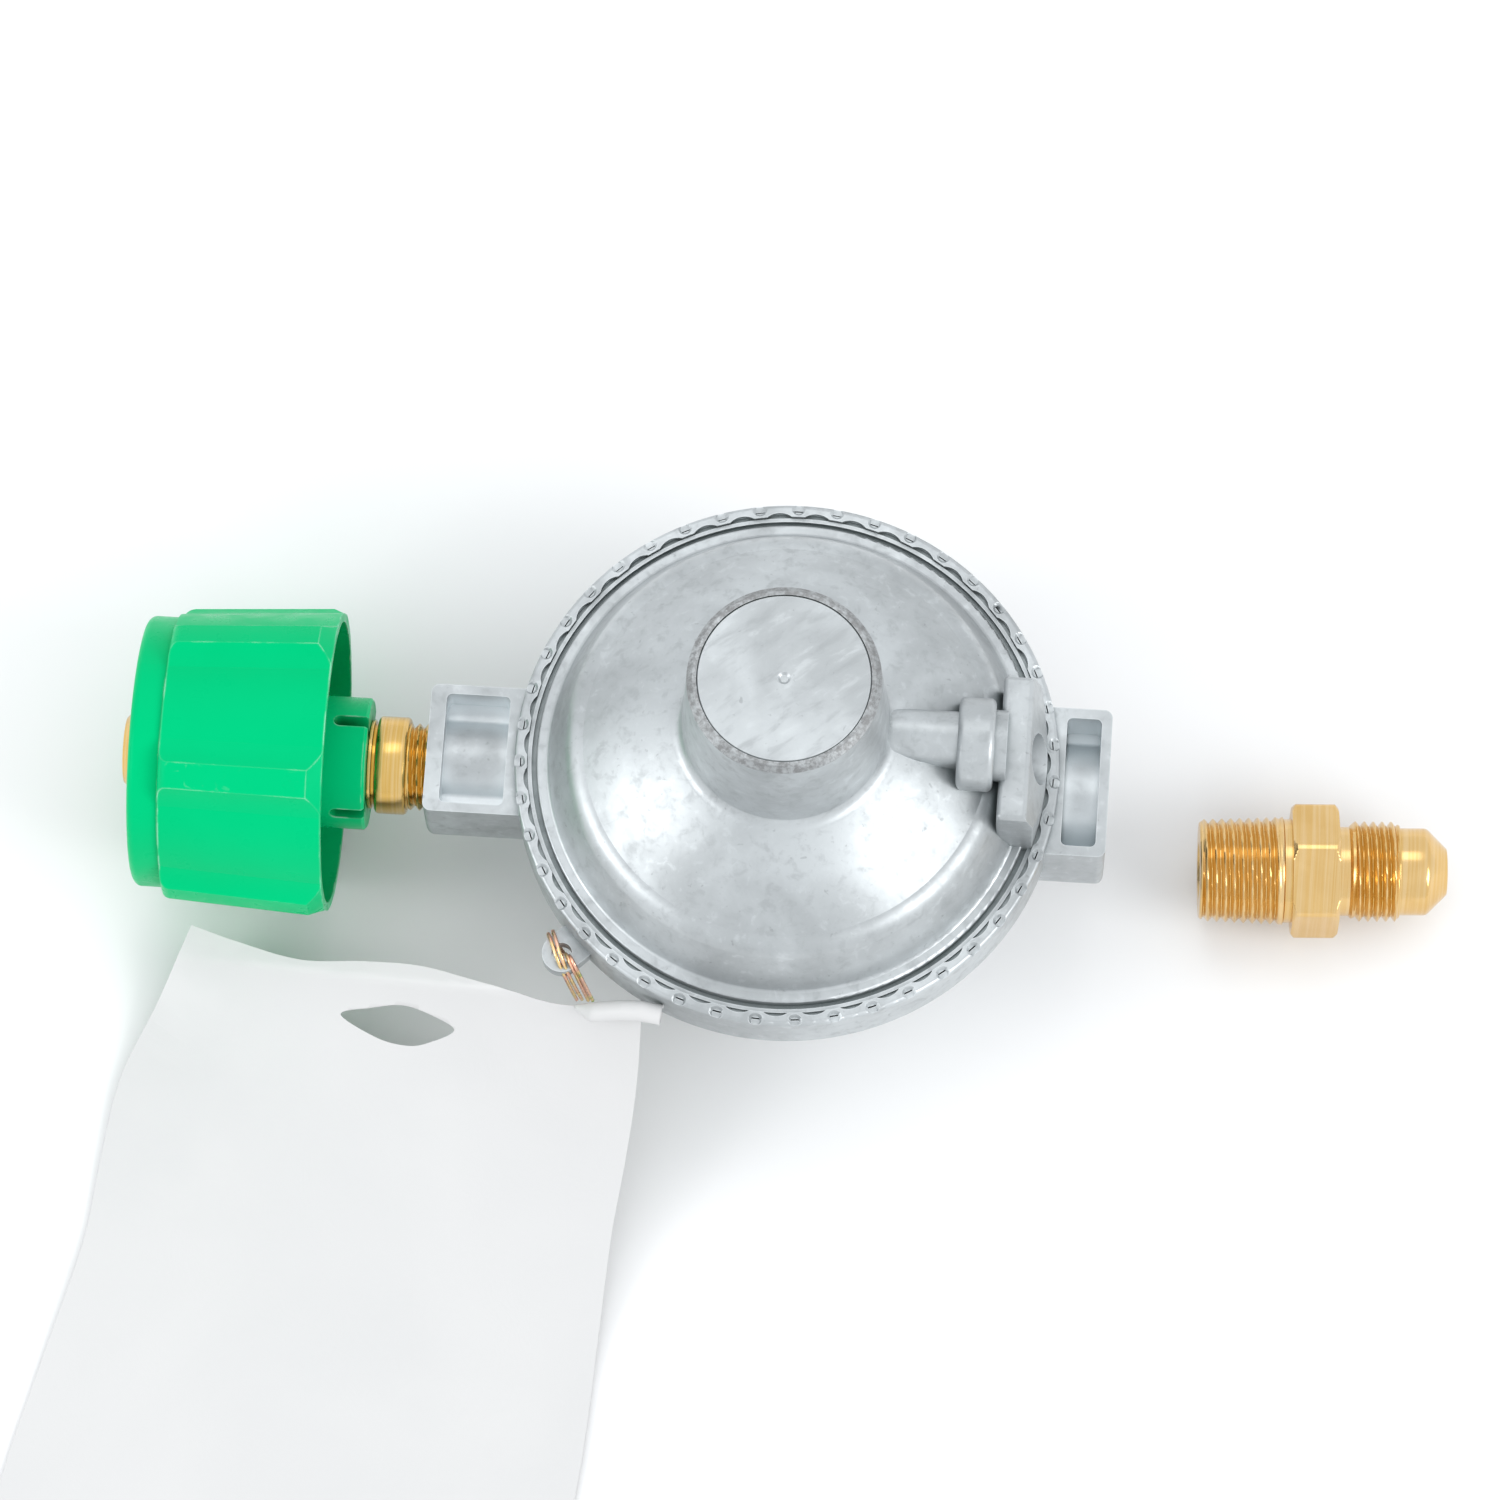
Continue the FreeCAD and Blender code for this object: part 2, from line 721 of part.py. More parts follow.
def cover():
    """The cast cover: flange, groove and bead, dome, tower, vent block and horn."""
    body = new_body("cover")
    flange_bottom = s.seat_height + s.diaphragm_thick
    outside = outline(sketch(body, "OutsideProfile", "XZ"), [
        (0, flange_bottom),
        (s.flange_radius, flange_bottom),
        (s.flange_radius, s.lip_height),
        (s.gap_outer, s.lip_height),
        (s.gap_outer, s.lip_height - s.gap_depth),
        (s.gap_inner, s.lip_height - s.gap_depth),
        (s.gap_inner, s.lip_height),
        (s.groove_outer, s.lip_height),
        (s.groove_outer, s.lip_height - s.groove_depth),
        (s.bead_outer, s.lip_height - s.groove_depth),
        (s.bead_outer, s.bead_height - 0.4),
        (s.bead_outer - 0.4, s.bead_height, 0.4),
        (s.bead_inner, s.bead_height),
        (s.shoulder_foot_radius, s.bead_height + 0.6, -0.8),
        (s.shoulder_radius, s.shoulder_height),
        (s.dome_radius, s.dome_height, 4.2),
        (s.crown_radius, s.crown_height, 60.0),
        (s.tower_foot_radius, s.tower_foot_height, -2.6),
        (s.tower_radius, s.tower_height - s.tower_bevel),
        (s.tower_radius - s.tower_bevel, s.tower_height),
        (0, s.tower_height),
    ])
    revolve(body, "Revolution", "Outside", outside)
    vent_block(body)
    inside = outline(sketch(body, "InsideProfile", "XZ"), [
        (0, flange_bottom - 1),
        (s.cover_wall_radius, flange_bottom - 1),
        (s.cover_wall_radius, flange_bottom),
        (s.shoulder_radius - 2, s.dome_height - 5),
        (s.dome_radius - 2, s.dome_height - 3, 3.4),
        (s.tower_bore, s.crown_height - 2, 60.0),
        (s.tower_bore, s.cap_seat),
        (s.cap_radius + s.running_fit, s.cap_seat),
        (s.cap_radius + s.running_fit, s.tower_height + 1),
        (0, s.tower_height + 1),
    ])
    revolve(body, "Groove", "Inside", inside)
    hole = circle(
        sketch(body, "VentHoleOutline", "YZ", s.block_reach + 1, s.vent_hole_height),
        0, 0, s.vent_hole_radius,
    )
    extrude(body, "Pocket", "VentHole", hole, s.block_reach - s.dome_radius + 4)
    return body


def vent_block(body):
    """The vent block on the cover's edge, the drum behind it and the horn that joins it to the tower."""
    bottom = s.lip_height - s.groove_depth
    block = sketch(body, "BlockOutline", "XY", bottom)
    corner = math.sqrt(s.block_reach.value ** 2 - s.block_half.value ** 2)
    reach = Size(corner, "sqrt(Sizes.block_reach ^ 2 - Sizes.block_half ^ 2)")
    outline(block, [
        (s.block_start, -s.block_half),
        (reach, -s.block_half),
        (reach, s.block_half, s.block_reach),
        (s.block_start, s.block_half),
    ])
    extrude(body, "Pad", "Block", block, s.block_top - bottom)
    slope = outline(sketch(body, "BlockSlopeProfile", "XZ", -s.block_half - 1), [
        (s.block_flat_end, s.block_top),
        (s.block_reach + 1, s.block_slope_foot),
        (s.block_reach + 1, s.block_top + 1),
        (s.block_flat_end, s.block_top + 1),
    ])
    extrude(body, "Pocket", "BlockSlope", slope, (s.block_half + 1) * 2, backward=True)
    soften(
        body, "Fillet", "BlockEdges", s.block_round,
        dict(z=s.block_top),
        dict(x=s.block_start, y=s.block_half),
        dict(x=s.block_start, y=-s.block_half),
    )
    arch = outline(sketch(body, "HornOutline", "YZ", s.vent_drum_start + s.vent_drum_round), [
        (s.horn_radius, s.horn_bottom),
        (s.horn_radius, s.horn_height),
        (0, s.horn_height + s.horn_radius, s.horn_radius),
        (-s.horn_radius, s.horn_height, s.horn_radius),
        (-s.horn_radius, s.horn_bottom),
    ])
    horn_length = s.vent_drum_start + s.vent_drum_round - s.tower_bore
    extrude(body, "Pad", "Horn", arch, horn_length, backward=True)
    drum = outline(sketch(body, "DrumProfile", "XZ", 0, s.vent_axis), [
        (s.vent_drum_start, 0),
        (s.block_start + 1, 0),
        (s.block_start + 1, s.vent_neck_radius),
        (s.vent_drum_end, s.vent_neck_radius),
        (s.vent_drum_end, s.vent_drum_radius - s.vent_drum_round),
        (s.vent_drum_end - s.vent_drum_round, s.vent_drum_radius, s.vent_drum_round),
        (s.vent_drum_start + s.vent_drum_round, s.vent_drum_radius),
        (s.vent_drum_start, s.vent_drum_radius - s.vent_drum_round, s.vent_drum_round),
    ])
    revolve(body, "Revolution", "Drum", drum, "H_Axis")


# Spring chamber

def spring_side():
    """Closing disc, adjusting screw, main spring, dished plate and diaphragm."""
    turned("tower_cap", [
        (0, s.cap_seat),
        (s.cap_radius, s.cap_seat),
        (s.cap_radius, s.tower_height - 0.2),
        (s.cap_radius - 0.2, s.tower_height),
        (1.0, s.tower_height),
        (0.6, s.tower_height - 0.3),
        (0, s.tower_height - 0.3),
    ], along="Z")
    screw = turned("adjusting_screw", [
        (0, s.screw_bottom - 2),
        (s.spring_radius - s.spring_wire / 2 - 0.3, s.screw_bottom - 2),
        (s.spring_radius - s.spring_wire / 2 - 0.3, s.screw_bottom),
        (s.tower_bore - s.running_fit, s.screw_bottom),
        (s.tower_bore - s.running_fit, s.screw_bottom + s.screw_thick),
        (6.0, s.screw_bottom + s.screw_thick),
        (6.0, s.screw_bottom + 2),
        (0, s.screw_bottom + 2),
    ], along="Z")
    slot = rectangle(
        sketch(screw, "SlotOutline", "XY", s.screw_bottom + s.screw_thick), -10.5, -1.2, 10.5, 1.2
    )
    extrude(screw, "Pocket", "ToolSlot", slot, 2)
    plate_top = s.plateau_height + s.plate_thick
    turned("diaphragm_plate", [
        (s.stem_radius + s.running_fit, s.plateau_height),
        (s.plate_radius, s.plateau_height),
        (s.plate_radius, plate_top + 1.6),
        (s.plate_radius - 1, plate_top + 1.6),
        (s.plate_radius - 1, plate_top),
        (s.spring_radius + s.spring_wire / 2 + 1.2, plate_top),
        (s.spring_radius + s.spring_wire / 2 + 1.2, plate_top + 1),
        (s.spring_radius + s.spring_wire / 2 + 0.4, plate_top + 1),
        (s.spring_radius + s.spring_wire / 2 + 0.4, plate_top),
        (s.stem_radius + s.running_fit, plate_top),
    ], along="Z")
    thick = s.diaphragm_thick
    turned("diaphragm", [
        (s.stem_radius + 0.2, s.plateau_height - thick),
        (s.plateau_radius + 0.3, s.plateau_height - thick),
        (s.plateau_radius + 2.8, s.seat_height + 1.2),
        (s.chamber_radius - 2.8, s.seat_height + 1.2, -3.0),
        (s.chamber_radius - 1.3, s.seat_height),
        (s.flange_radius, s.seat_height),
        (s.flange_radius, s.seat_height + thick),
        (s.chamber_radius - 1.0, s.seat_height + thick),
        (s.chamber_radius - 2.5, s.seat_height + thick + 1.2),
        (s.plateau_radius + 2.5, s.seat_height + thick + 1.2, 3.5),
        (s.plateau_radius, s.plateau_height),
        (s.stem_radius + 0.2, s.plateau_height),
    ], along="Z")
    coil(
        "main_spring", s.spring_radius, s.spring_wire, s.screw_bottom - plate_top, s.spring_turns,
        FreeCAD.Placement(V(0, 0, plate_top.value + s.spring_wire.value / 2), FreeCAD.Rotation()),
    )


def stem():
    """The pusher with its head and window, and the relief valve's spring and nut on it."""
    body = new_body("pusher")
    head = outline(sketch(body, "HeadProfile", "XZ"), [
        (0, s.pusher_head_bottom),
        (s.pusher_head_radius, s.pusher_head_bottom),
        (s.pusher_head_radius, s.plateau_height - s.diaphragm_thick),
        (s.stem_radius, s.plateau_height - s.diaphragm_thick),
        (s.stem_radius, s.stem_top - 0.5),
        (s.stem_radius - 0.5, s.stem_top),
        (0, s.stem_top),
    ])
    revolve(body, "Revolution", "Head", head)
    fork = rectangle(
        sketch(body, "ForkOutline", "XY", s.fork_bottom),
        -s.fork_half_length, -s.fork_half_width, s.fork_half_length, s.fork_half_width,
    )
    extrude(body, "Pad", "Fork", fork, s.pusher_head_bottom - s.fork_bottom + 0.5)
    play = 0.3
    window = rectangle(
        sketch(body, "WindowOutline", "YZ", s.fork_half_length),
        -s.lever_half_width - play, s.arm_height - s.arm_tip_radius - play,
        s.lever_half_width + play, s.arm_height + s.arm_tip_radius + play,
    )
    extrude(body, "Pocket", "Window", window, s.fork_half_length * 2)
    nut = new_body("relief_nut")
    blank = sketch(nut, "HexOutline", "XY", s.relief_nut_height)
    hexagon(blank, 5.8)
    circle(blank, 0, 0, s.stem_radius)
    extrude(nut, "Pad", "Hex", blank, s.relief_nut_thick)
    spring_bottom = s.plateau_height + s.plate_thick
    coil(
        "relief_spring", s.relief_radius, s.relief_wire, s.relief_nut_height - spring_bottom, s.relief_turns,
        FreeCAD.Placement(V(0, 0, spring_bottom.value + s.relief_wire.value / 2), FreeCAD.Rotation()),
    )


def swung(radius, angle):
    """The point at a radius, swung by an angle from the sketch's y axis towards its x axis."""
    turn = math.radians(size(angle).value)
    return radius * round(math.sin(turn), 6), radius * round(math.cos(turn), 6)


def hexagon(drawing, corner_radius):
    """A regular hexagon with corners on a circle, the first on the sketch's y axis."""
    outline(drawing, [swung(size(corner_radius), -60 * n) for n in range(6)])


# Valve

def lever():
    """The bent lever: hub on the pin, long arm to the stem's window, short tongue to the valve."""
    body = new_body("lever")
    half = s.lever_thick / 2
    hub = circle(
        sketch(body, "HubOutline", "XZ", -s.lever_hub_half), s.pin_place, s.pin_height, s.lever_hub_radius
    )
    extrude(body, "Pad", "Hub", hub, s.lever_hub_half * 2)
    first_bend = s.pin_place + s.arm_bend
    second_bend = first_bend + s.arm_climb
    arm = outline(sketch(body, "ArmOutline", "XZ", -s.lever_half_width), [
        (s.pin_place, s.pin_height - half),
        (first_bend + s.arm_miter, s.pin_height - half),
        (second_bend + s.arm_miter, s.arm_height - half),
        (0, s.arm_height - half),
        (0, s.arm_height + half),
        (second_bend - s.arm_miter, s.arm_height + half),
        (first_bend - s.arm_miter, s.pin_height + half),
        (s.pin_place, s.pin_height + half),
    ])
    extrude(body, "Pad", "Arm", arm, s.lever_half_width * 2)
    tip = circle(sketch(body, "TipOutline", "XZ", -s.lever_half_width), 0, s.arm_height, s.arm_tip_radius)
    extrude(body, "Pad", "Tip", tip, s.lever_half_width * 2)
    tongue = rectangle(
        sketch(body, "TongueOutline", "XZ", -s.tongue_half_width),
        s.pin_place - s.tongue_half_thick, s.pin_height, s.pin_place + s.tongue_half_thick, s.port_height,
    )
    extrude(body, "Pad", "Tongue", tongue, s.tongue_half_width * 2)
    knob = circle(
        sketch(body, "KnobOutline", "XZ", -s.tongue_half_width),
        s.pin_place, s.port_height, s.tongue_tip_radius,
    )
    extrude(body, "Pad", "Knob", knob, s.tongue_half_width * 2)
    hole = circle(
        sketch(body, "PinHoleOutline", "XZ", -s.lever_hub_half),
        s.pin_place, s.pin_height, s.pin_radius + s.running_fit,
    )
    extrude(body, "Pocket", "PinHole", hole, s.lever_hub_half * 2, backward=True)
    pin = new_body("lever_pin")
    rod = circle(sketch(pin, "RodOutline", "XZ", -s.post_outer), s.pin_place, s.pin_height, s.pin_radius)
    extrude(pin, "Pad", "Rod", rod, s.post_outer * 2)


def sliding_valve():
    """Seat holder with its rubber disc, and the nozzle that the disc closes."""
    holder = turned("seat_holder", [
        (s.disc_back, 0),
        (s.holder_tail_end, 0),
        (s.holder_tail_end, s.holder_tail_radius),
        (s.holder_head_end, s.holder_tail_radius),
        (s.holder_head_end, s.guide_radius - 0.07),
        (s.holder_face, s.guide_radius - 0.07),
        (s.holder_face, s.disc_radius),
        (s.disc_back, s.disc_radius),
    ], z=s.port_height)
    slot = rectangle(
        sketch(holder, "SlotOutline", "XZ", -s.holder_tail_radius - 1),
        s.pin_place - 1.75, -s.holder_tail_radius - 1, s.pin_place + 1.75, 2.1,
    )
    extrude(holder, "Pocket", "TongueSlot", slot, (s.holder_tail_radius + 1) * 2, backward=True)
    turned("seat_disc", [
        (s.disc_face, 0),
        (s.disc_back, 0),
        (s.disc_back, s.disc_radius),
        (s.disc_face + 0.2, s.disc_radius),
        (s.disc_face, s.disc_radius - 0.2),
    ], z=s.port_height)
    turned("valve_orifice", [
        (s.orifice_seat, 1.8),
        (s.orifice_seat + 0.8, 1.2),
        (s.nozzle_tip, 1.2),
        (s.nozzle_tip, 1.8),
        (s.nozzle_tip - 0.6, 2.5),
        (s.nozzle_tip - 3.4, 3.2),
        (s.nozzle_tip - 4.4, s.orifice_radius),
        (s.orifice_seat, s.orifice_radius),
    ], z=s.port_height)


# Inlet

def inlet_side():
    """The nipple with the excess flow valve in its probe."""
    turned("inlet_nipple", [
        (s.inlet_bore_end, s.nipple_bore),
        (s.inlet_bore_end, s.nipple_thread_radius),
        (s.nipple_ring_back, s.nipple_thread_radius),
        (s.nipple_ring_back, s.nipple_ring_radius - 0.5),
        (s.nipple_ring_back - 0.6, s.nipple_ring_radius, 0.7),
        (s.nipple_ring_front + 0.6, s.nipple_ring_radius),
        (s.nipple_ring_front, s.nipple_ring_radius - 0.5, 0.7),
        (s.nipple_ring_front, s.nipple_stem_radius + 0.1),
        (s.nipple_collar_back, s.nipple_stem_radius + 0.1),
        (s.nipple_collar_back, s.probe_radius),
        (s.nipple_collar_front, s.probe_radius),
        (s.nipple_collar_front, s.nipple_stem_radius),
        (s.shoulder_back, s.nipple_stem_radius),
        (s.shoulder_back, s.nipple_shoulder_radius),
        (s.shoulder_front, s.nipple_shoulder_radius),
        (s.shoulder_front, s.probe_radius),
        (s.probe_tip + 4.6, s.probe_radius),
        (s.probe_tip + 1.0, s.probe_tip_radius + 0.5),
        (s.probe_tip, s.probe_tip_radius - 0.4, 1.4),
        (s.probe_tip, s.poppet_bore),
        (s.poppet_seat, s.poppet_bore),
        (s.poppet_seat, s.nipple_bore),
    ], z=s.port_height)
    flange_front = s.poppet_flange_back - s.poppet_flange_thick
    turned("excess_flow_poppet", [
        (s.retainer_front - 0.3, 0),
        (s.poppet_flange_back + 1.8, 0),
        (s.poppet_flange_back + 1.4, 1.6),
        (s.poppet_flange_back + 1.1, 2.4, -1.0),
        (s.poppet_flange_back, 2.4),
        (s.poppet_flange_back, s.poppet_bore - 0.3),
        (flange_front, s.poppet_bore - 0.3),
        (flange_front, s.poppet_stem_radius),
        (s.retainer_front - 0.3, s.poppet_stem_radius),
    ], z=s.port_height)
    along_x = FreeCAD.Rotation(V(0, 1, 0), 90)
    coil(
        "excess_flow_spring", s.flow_spring_radius, s.flow_spring_wire,
        s.poppet_seat - s.poppet_flange_back, s.flow_spring_turns,
        FreeCAD.Placement(
            V(s.poppet_flange_back.value + s.flow_spring_wire.value / 2, 0, s.port_height.value), along_x
        ),
    )
    retainer = turned("excess_flow_retainer", [
        (s.retainer_front, s.poppet_stem_radius + s.running_fit),
        (s.retainer_front + s.retainer_thick, s.poppet_stem_radius + s.running_fit),
        (s.retainer_front + s.retainer_thick, s.poppet_bore),
        (s.retainer_front, s.poppet_bore),
    ], z=s.port_height)
    hole = circle(
        sketch(retainer, "GasHoleOutline", "YZ", s.retainer_front + s.retainer_thick), 0, 2.75, 0.95
    )
    first = extrude(retainer, "Pocket", "GasHole", hole, s.retainer_thick)
    around(retainer, first, "GasHoles", size(4), "X_Axis")


def coupling_nut():
    """The moulded hand nut: threaded mouth, thin skirt with six ridges, slotted hub on the nipple."""
    body = new_body("coupling_nut", z=s.port_height, turn_x=s.nut_turn)
    core_bore = s.nipple_stem_radius + s.running_fit
    core = outline(sketch(body, "CoreProfile", "XZ"), [
        (s.web_front, core_bore),
        (s.hub_end, core_bore),
        (s.hub_end, s.hub_radius - 0.4),
        (s.hub_end - 0.4, s.hub_radius),
        (s.web_back, s.hub_radius),
        (s.web_back, s.skirt_bore),
        (s.skirt_end, s.skirt_bore),
        (s.skirt_end, s.skirt_end_radius),
        (s.collar_back, s.skirt_front_radius),
        (s.collar_back, s.collar_radius),
        (s.nut_front + 1.2, s.collar_radius),
        (s.nut_front, s.collar_radius - 1.2, 1.2),
        (s.nut_front, s.thread_bore + 1.0),
        (s.nut_front + 1.0, s.thread_bore),
        (s.web_front, s.thread_bore),
    ])
    revolve(body, "Revolution", "Core", core, "H_Axis")
    nut_ridges(body)
    slot = outline(sketch(body, "SlotOutline", "XY", s.hub_radius + 1), [
        (s.hub_end + 1, s.slot_width / 2),
        (s.skirt_end + s.slot_width / 2, s.slot_width / 2),
        (s.skirt_end, 0, s.slot_width / 2),
        (s.skirt_end + s.slot_width / 2, -s.slot_width / 2, s.slot_width / 2),
        (s.hub_end + 1, -s.slot_width / 2),
    ])
    cut = extrude(body, "Pocket", "Slot", slot, s.hub_radius - core_bore + 2)
    around(body, cut, "Slots", s.slot_count, "X_Axis")


def nut_ridges(body):
    """Narrow grip ridges with hollow flanks, rounded at the collar and bevelled at the skirt's end."""
    sections = []
    for name, place, valley in (
        ("Front", s.collar_back, s.skirt_front_radius), ("End", s.skirt_end, s.skirt_end_radius)
    ):
        land = valley + s.ridge_rise
        sunk = valley - 0.2
        root = valley - 0.7
        drawing = sketch(body, "Ridge%sOutline" % name, "YZ", place, 0, s.ridge_turn)
        sections.append(outline(drawing, [
            swung(sunk, s.ridge_foot_half),
            (*swung(land, s.ridge_land_half), -s.ridge_flank_radius),
            (*swung(land, -s.ridge_land_half), land),
            (*swung(sunk, -s.ridge_foot_half), -s.ridge_flank_radius),
            swung(root, -s.ridge_foot_half),
            (*swung(root, s.ridge_foot_half), -root),
        ]))
    first = body.newObject("PartDesign::AdditiveLoft", "Ridge")
    first.Profile = sections[0]
    first.Sections = [sections[1]]
    first.Ruled = True
    around(body, first, "Ridges", s.ridge_count, "X_Axis")
    front = s.skirt_front_radius + s.ridge_rise
    rounding = outline(sketch(body, "RidgeRoundProfile", "XZ"), [
        (s.collar_back - 1, front - s.ridge_round),
        (s.collar_back, front - s.ridge_round),
        (s.collar_back + s.ridge_round, front + 0.1, -s.ridge_round),
        (s.collar_back + s.ridge_round, front + 1),
        (s.collar_back - 1, front + 1),
    ])
    revolve(body, "Groove", "RidgeRound", rounding, "H_Axis")
    end = s.skirt_end_radius + s.ridge_rise
    bevel = outline(sketch(body, "RidgeBevelProfile", "XZ"), [
        (s.skirt_end - s.ridge_bevel_long, end),
        (s.skirt_end, end - s.ridge_bevel_high),
        (s.skirt_end + 1, end - s.ridge_bevel_high),
        (s.skirt_end + 1, end + 1),
        (s.skirt_end - s.ridge_bevel_long, end + 1),
    ])
    revolve(body, "Groove", "RidgeBevel", bevel, "H_Axis")


# Vent screen

def vent_screen():
    """The round screen in the vent hole and the ring that holds it."""
    screen = turned("vent_screen", [
        (s.screen_place, 0),
        (s.screen_place + 0.4, 0),
        (s.screen_place + 0.4, s.vent_hole_radius),
        (s.screen_place, s.vent_hole_radius),
    ], z=s.vent_hole_height)
    hole = circle(sketch(screen, "MeshOutline", "YZ", s.screen_place + 0.4), 0, 2.1, 0.7)
    first = extrude(screen, "Pocket", "MeshHole", hole, 0.4)
    around(screen, first, "MeshHoles", size(6), "X_Axis")
    turned("vent_screen_ring", [
        (s.screen_place + 0.4, s.vent_hole_radius - 0.7),
        (s.screen_place + 1.2, s.vent_hole_radius - 0.7),
        (s.screen_place + 1.2, s.vent_hole_radius),
        (s.screen_place + 0.4, s.vent_hole_radius),
    ], z=s.vent_hole_height)


# Loose adapter

def flare_adapter():
    """The loose adapter: tapered pipe end, hexagon, neck, flare thread and cone."""
    body = new_body(
        "flare_adapter", x=s.adapter_x, y=s.adapter_y, z=s.adapter_height, turn_z=s.adapter_turn
    )
    hex_end = s.hex_start + s.hex_length
    cone_tip = s.nose_radius - s.adapter_length + s.nose_end
    blank = sketch(body, "HexOutline", "YZ", s.hex_start, 0, s.adapter_roll)
    corner = s.hex_flats / math.sqrt(3)
    hexagon(blank, corner)
    extrude(body, "Pad", "Hexagon", blank, s.hex_length)
    for name, end, way in (("Front", s.hex_start, 1), ("Back", hex_end, -1)):
        bevel = outline(sketch(body, "HexBevel%sProfile" % name, "XZ"), [
            (end, corner - 1.0),
            (end + 0.8 * way, corner),
            (end + 0.8 * way, corner + 1),
            (end - 0.5 * way, corner + 1),
            (end - 0.5 * way, corner - 1.0),
        ])
        revolve(body, "Groove", "HexBevel" + name, bevel, "H_Axis")
    shank = outline(sketch(body, "ShankProfile", "XZ"), [
        (0, 0),
        (s.adapter_length, 0),
        (s.adapter_length, cone_tip),
        (s.nose_end, s.nose_radius),
        (s.flare_end, s.nose_radius),
        (s.flare_end, s.flare_radius - 0.6),
        (s.flare_end - 0.6, s.flare_radius),
        (s.flare_start, s.flare_radius),
        (s.flare_start - 0.9, s.neck_radius),
        (s.hex_start + 1, s.neck_radius),
        (s.hex_start - 0.6, s.neck_radius),
        (s.hex_start - 1.2, s.taper_root_radius),
        (0.6, s.taper_tip_radius),
        (0, s.taper_tip_radius - 0.6),
    ])
    revolve(body, "Revolution", "Shank", shank, "H_Axis")
    bore = outline(sketch(body, "BoreProfile", "XZ"), [
        (-1, 0),
        (s.adapter_length + 1, 0),
        (s.adapter_length + 1, cone_tip - 0.4),
        (s.adapter_length, cone_tip - 0.4),
        (s.adapter_length - 0.6, cone_tip - 0.7),
        (s.hex_start, cone_tip - 0.7),
        (s.hex_start - 1, s.adapter_bore),
        (0.5, s.adapter_bore),
        (-1, s.adapter_bore + 1.5),
    ])
    revolve(body, "Groove", "Bore", bore, "H_Axis")


# Tag

def hang_tag():
    """The film tag: low at its left edge, lifted at its right edge by the wire, flat further down."""
    body = new_body("hang_tag", turn_z=s.tag_turn)
    edges = [
        ("Left", s.tag_left, s.tag_left_lift, s.tag_left_edge),
        ("Right", s.tag_right, s.tag_right_lift, s.tag_right_edge),
    ]
    sections = []
    for name, place, lift, top in edges:
        run = math.sqrt(s.tag_curl.value ** 2 - (s.tag_curl.value - lift.value) ** 2)
        inner = s.tag_curl - s.tag_thick
        edge = outline(sketch(body, name + "EdgeProfile", "YZ", place), [
            (s.tag_end, 0),
            (top - run, 0),
            (top, lift, s.tag_curl),
            (top, lift + s.tag_edge_thick),
            (top - run, s.tag_thick, -inner),
            (s.tag_end, s.tag_thick),
        ])
        sections.append(edge)
    film = body.newObject("PartDesign::AdditiveLoft", "Film")
    film.Profile = sections[0]
    film.Sections = [sections[1]]
    film.Ruled = True
    wedge = outline(sketch(body, "LeftTrimOutline", "XY", s.tag_right_lift + 10), [
        (s.tag_left - 1, s.tag_end + 10),
        (s.tag_left_top, s.tag_left_edge + 5),
        (s.tag_left - 1, s.tag_left_edge + 5),
    ])
    extrude(body, "Pocket", "LeftTrim", wedge, s.tag_right_lift + 20)
    hanger = outline(sketch(body, "HangerOutline", "XY", s.tag_right_lift + 10), [
        (s.hanger_left, s.hanger_left_place, s.hanger_radius),
        (s.hanger_right, s.hanger_right_place, s.hanger_radius),
    ])
    extrude(body, "Pocket", "HangerHole", hanger, s.tag_right_lift + 20)


def tag_wire():
    """The wire loop: up behind the tag, over the lug and its edge, and back up through its hole."""
    route = [
        V(-30.6, -35.6, 22.5),
        V(-32.3, -35.4, 35.8),
        V(-35.4, -28.3, 35.3),
        V(-35.4, -28.3, 30.3),
        V(-32.4, -31.6, 30.2),
        V(-32.4, -31.6, 35.0),
        V(-30.4, -34.6, 35.0),
        V(-28.4, -35.6, 22.5),
    ]
    edges = []
    last = route[0]
    for before, corner, after in zip(route, route[1:], route[2:]):
        into = before - corner
        out = after - corner
        half_turn = (math.pi - into.getAngle(out)) / 2
        radius = BEND_SHARE * min(into.Length, out.Length) / math.tan(half_turn)
        print("tag_wire: bend radius %.2f mm" % radius)
        cut = radius * math.tan(half_turn)
        start = corner + V(into).normalize() * cut
        end = corner + V(out).normalize() * cut
        inward = (V(into).normalize() + V(out).normalize()).normalize()
        middle = corner + inward * (radius / math.cos(half_turn) - radius)
        edges.append(Part.LineSegment(last, start).toShape())
        edges.append(Part.Arc(start, middle, end).toShape())
        last = end
    edges.append(Part.LineSegment(last, route[-1]).toShape())
    path = Part.Wire(edges)
    ring = Part.Wire([Part.makeCircle(s.wire_radius.value, route[0], route[1] - route[0])])
    wire = doc.addObject("Part::Feature", "tag_wire")
    wire.Label = "tag_wire"
    wire.Shape = path.makePipeShell([ring], True, False)
    pieces.append(wire)
    expected = path.Length * math.pi * s.wire_radius.value ** 2
    print("tag_wire: length %.1f mm, volume %.2f of %.2f" % (path.Length, wire.Shape.Volume, expected))


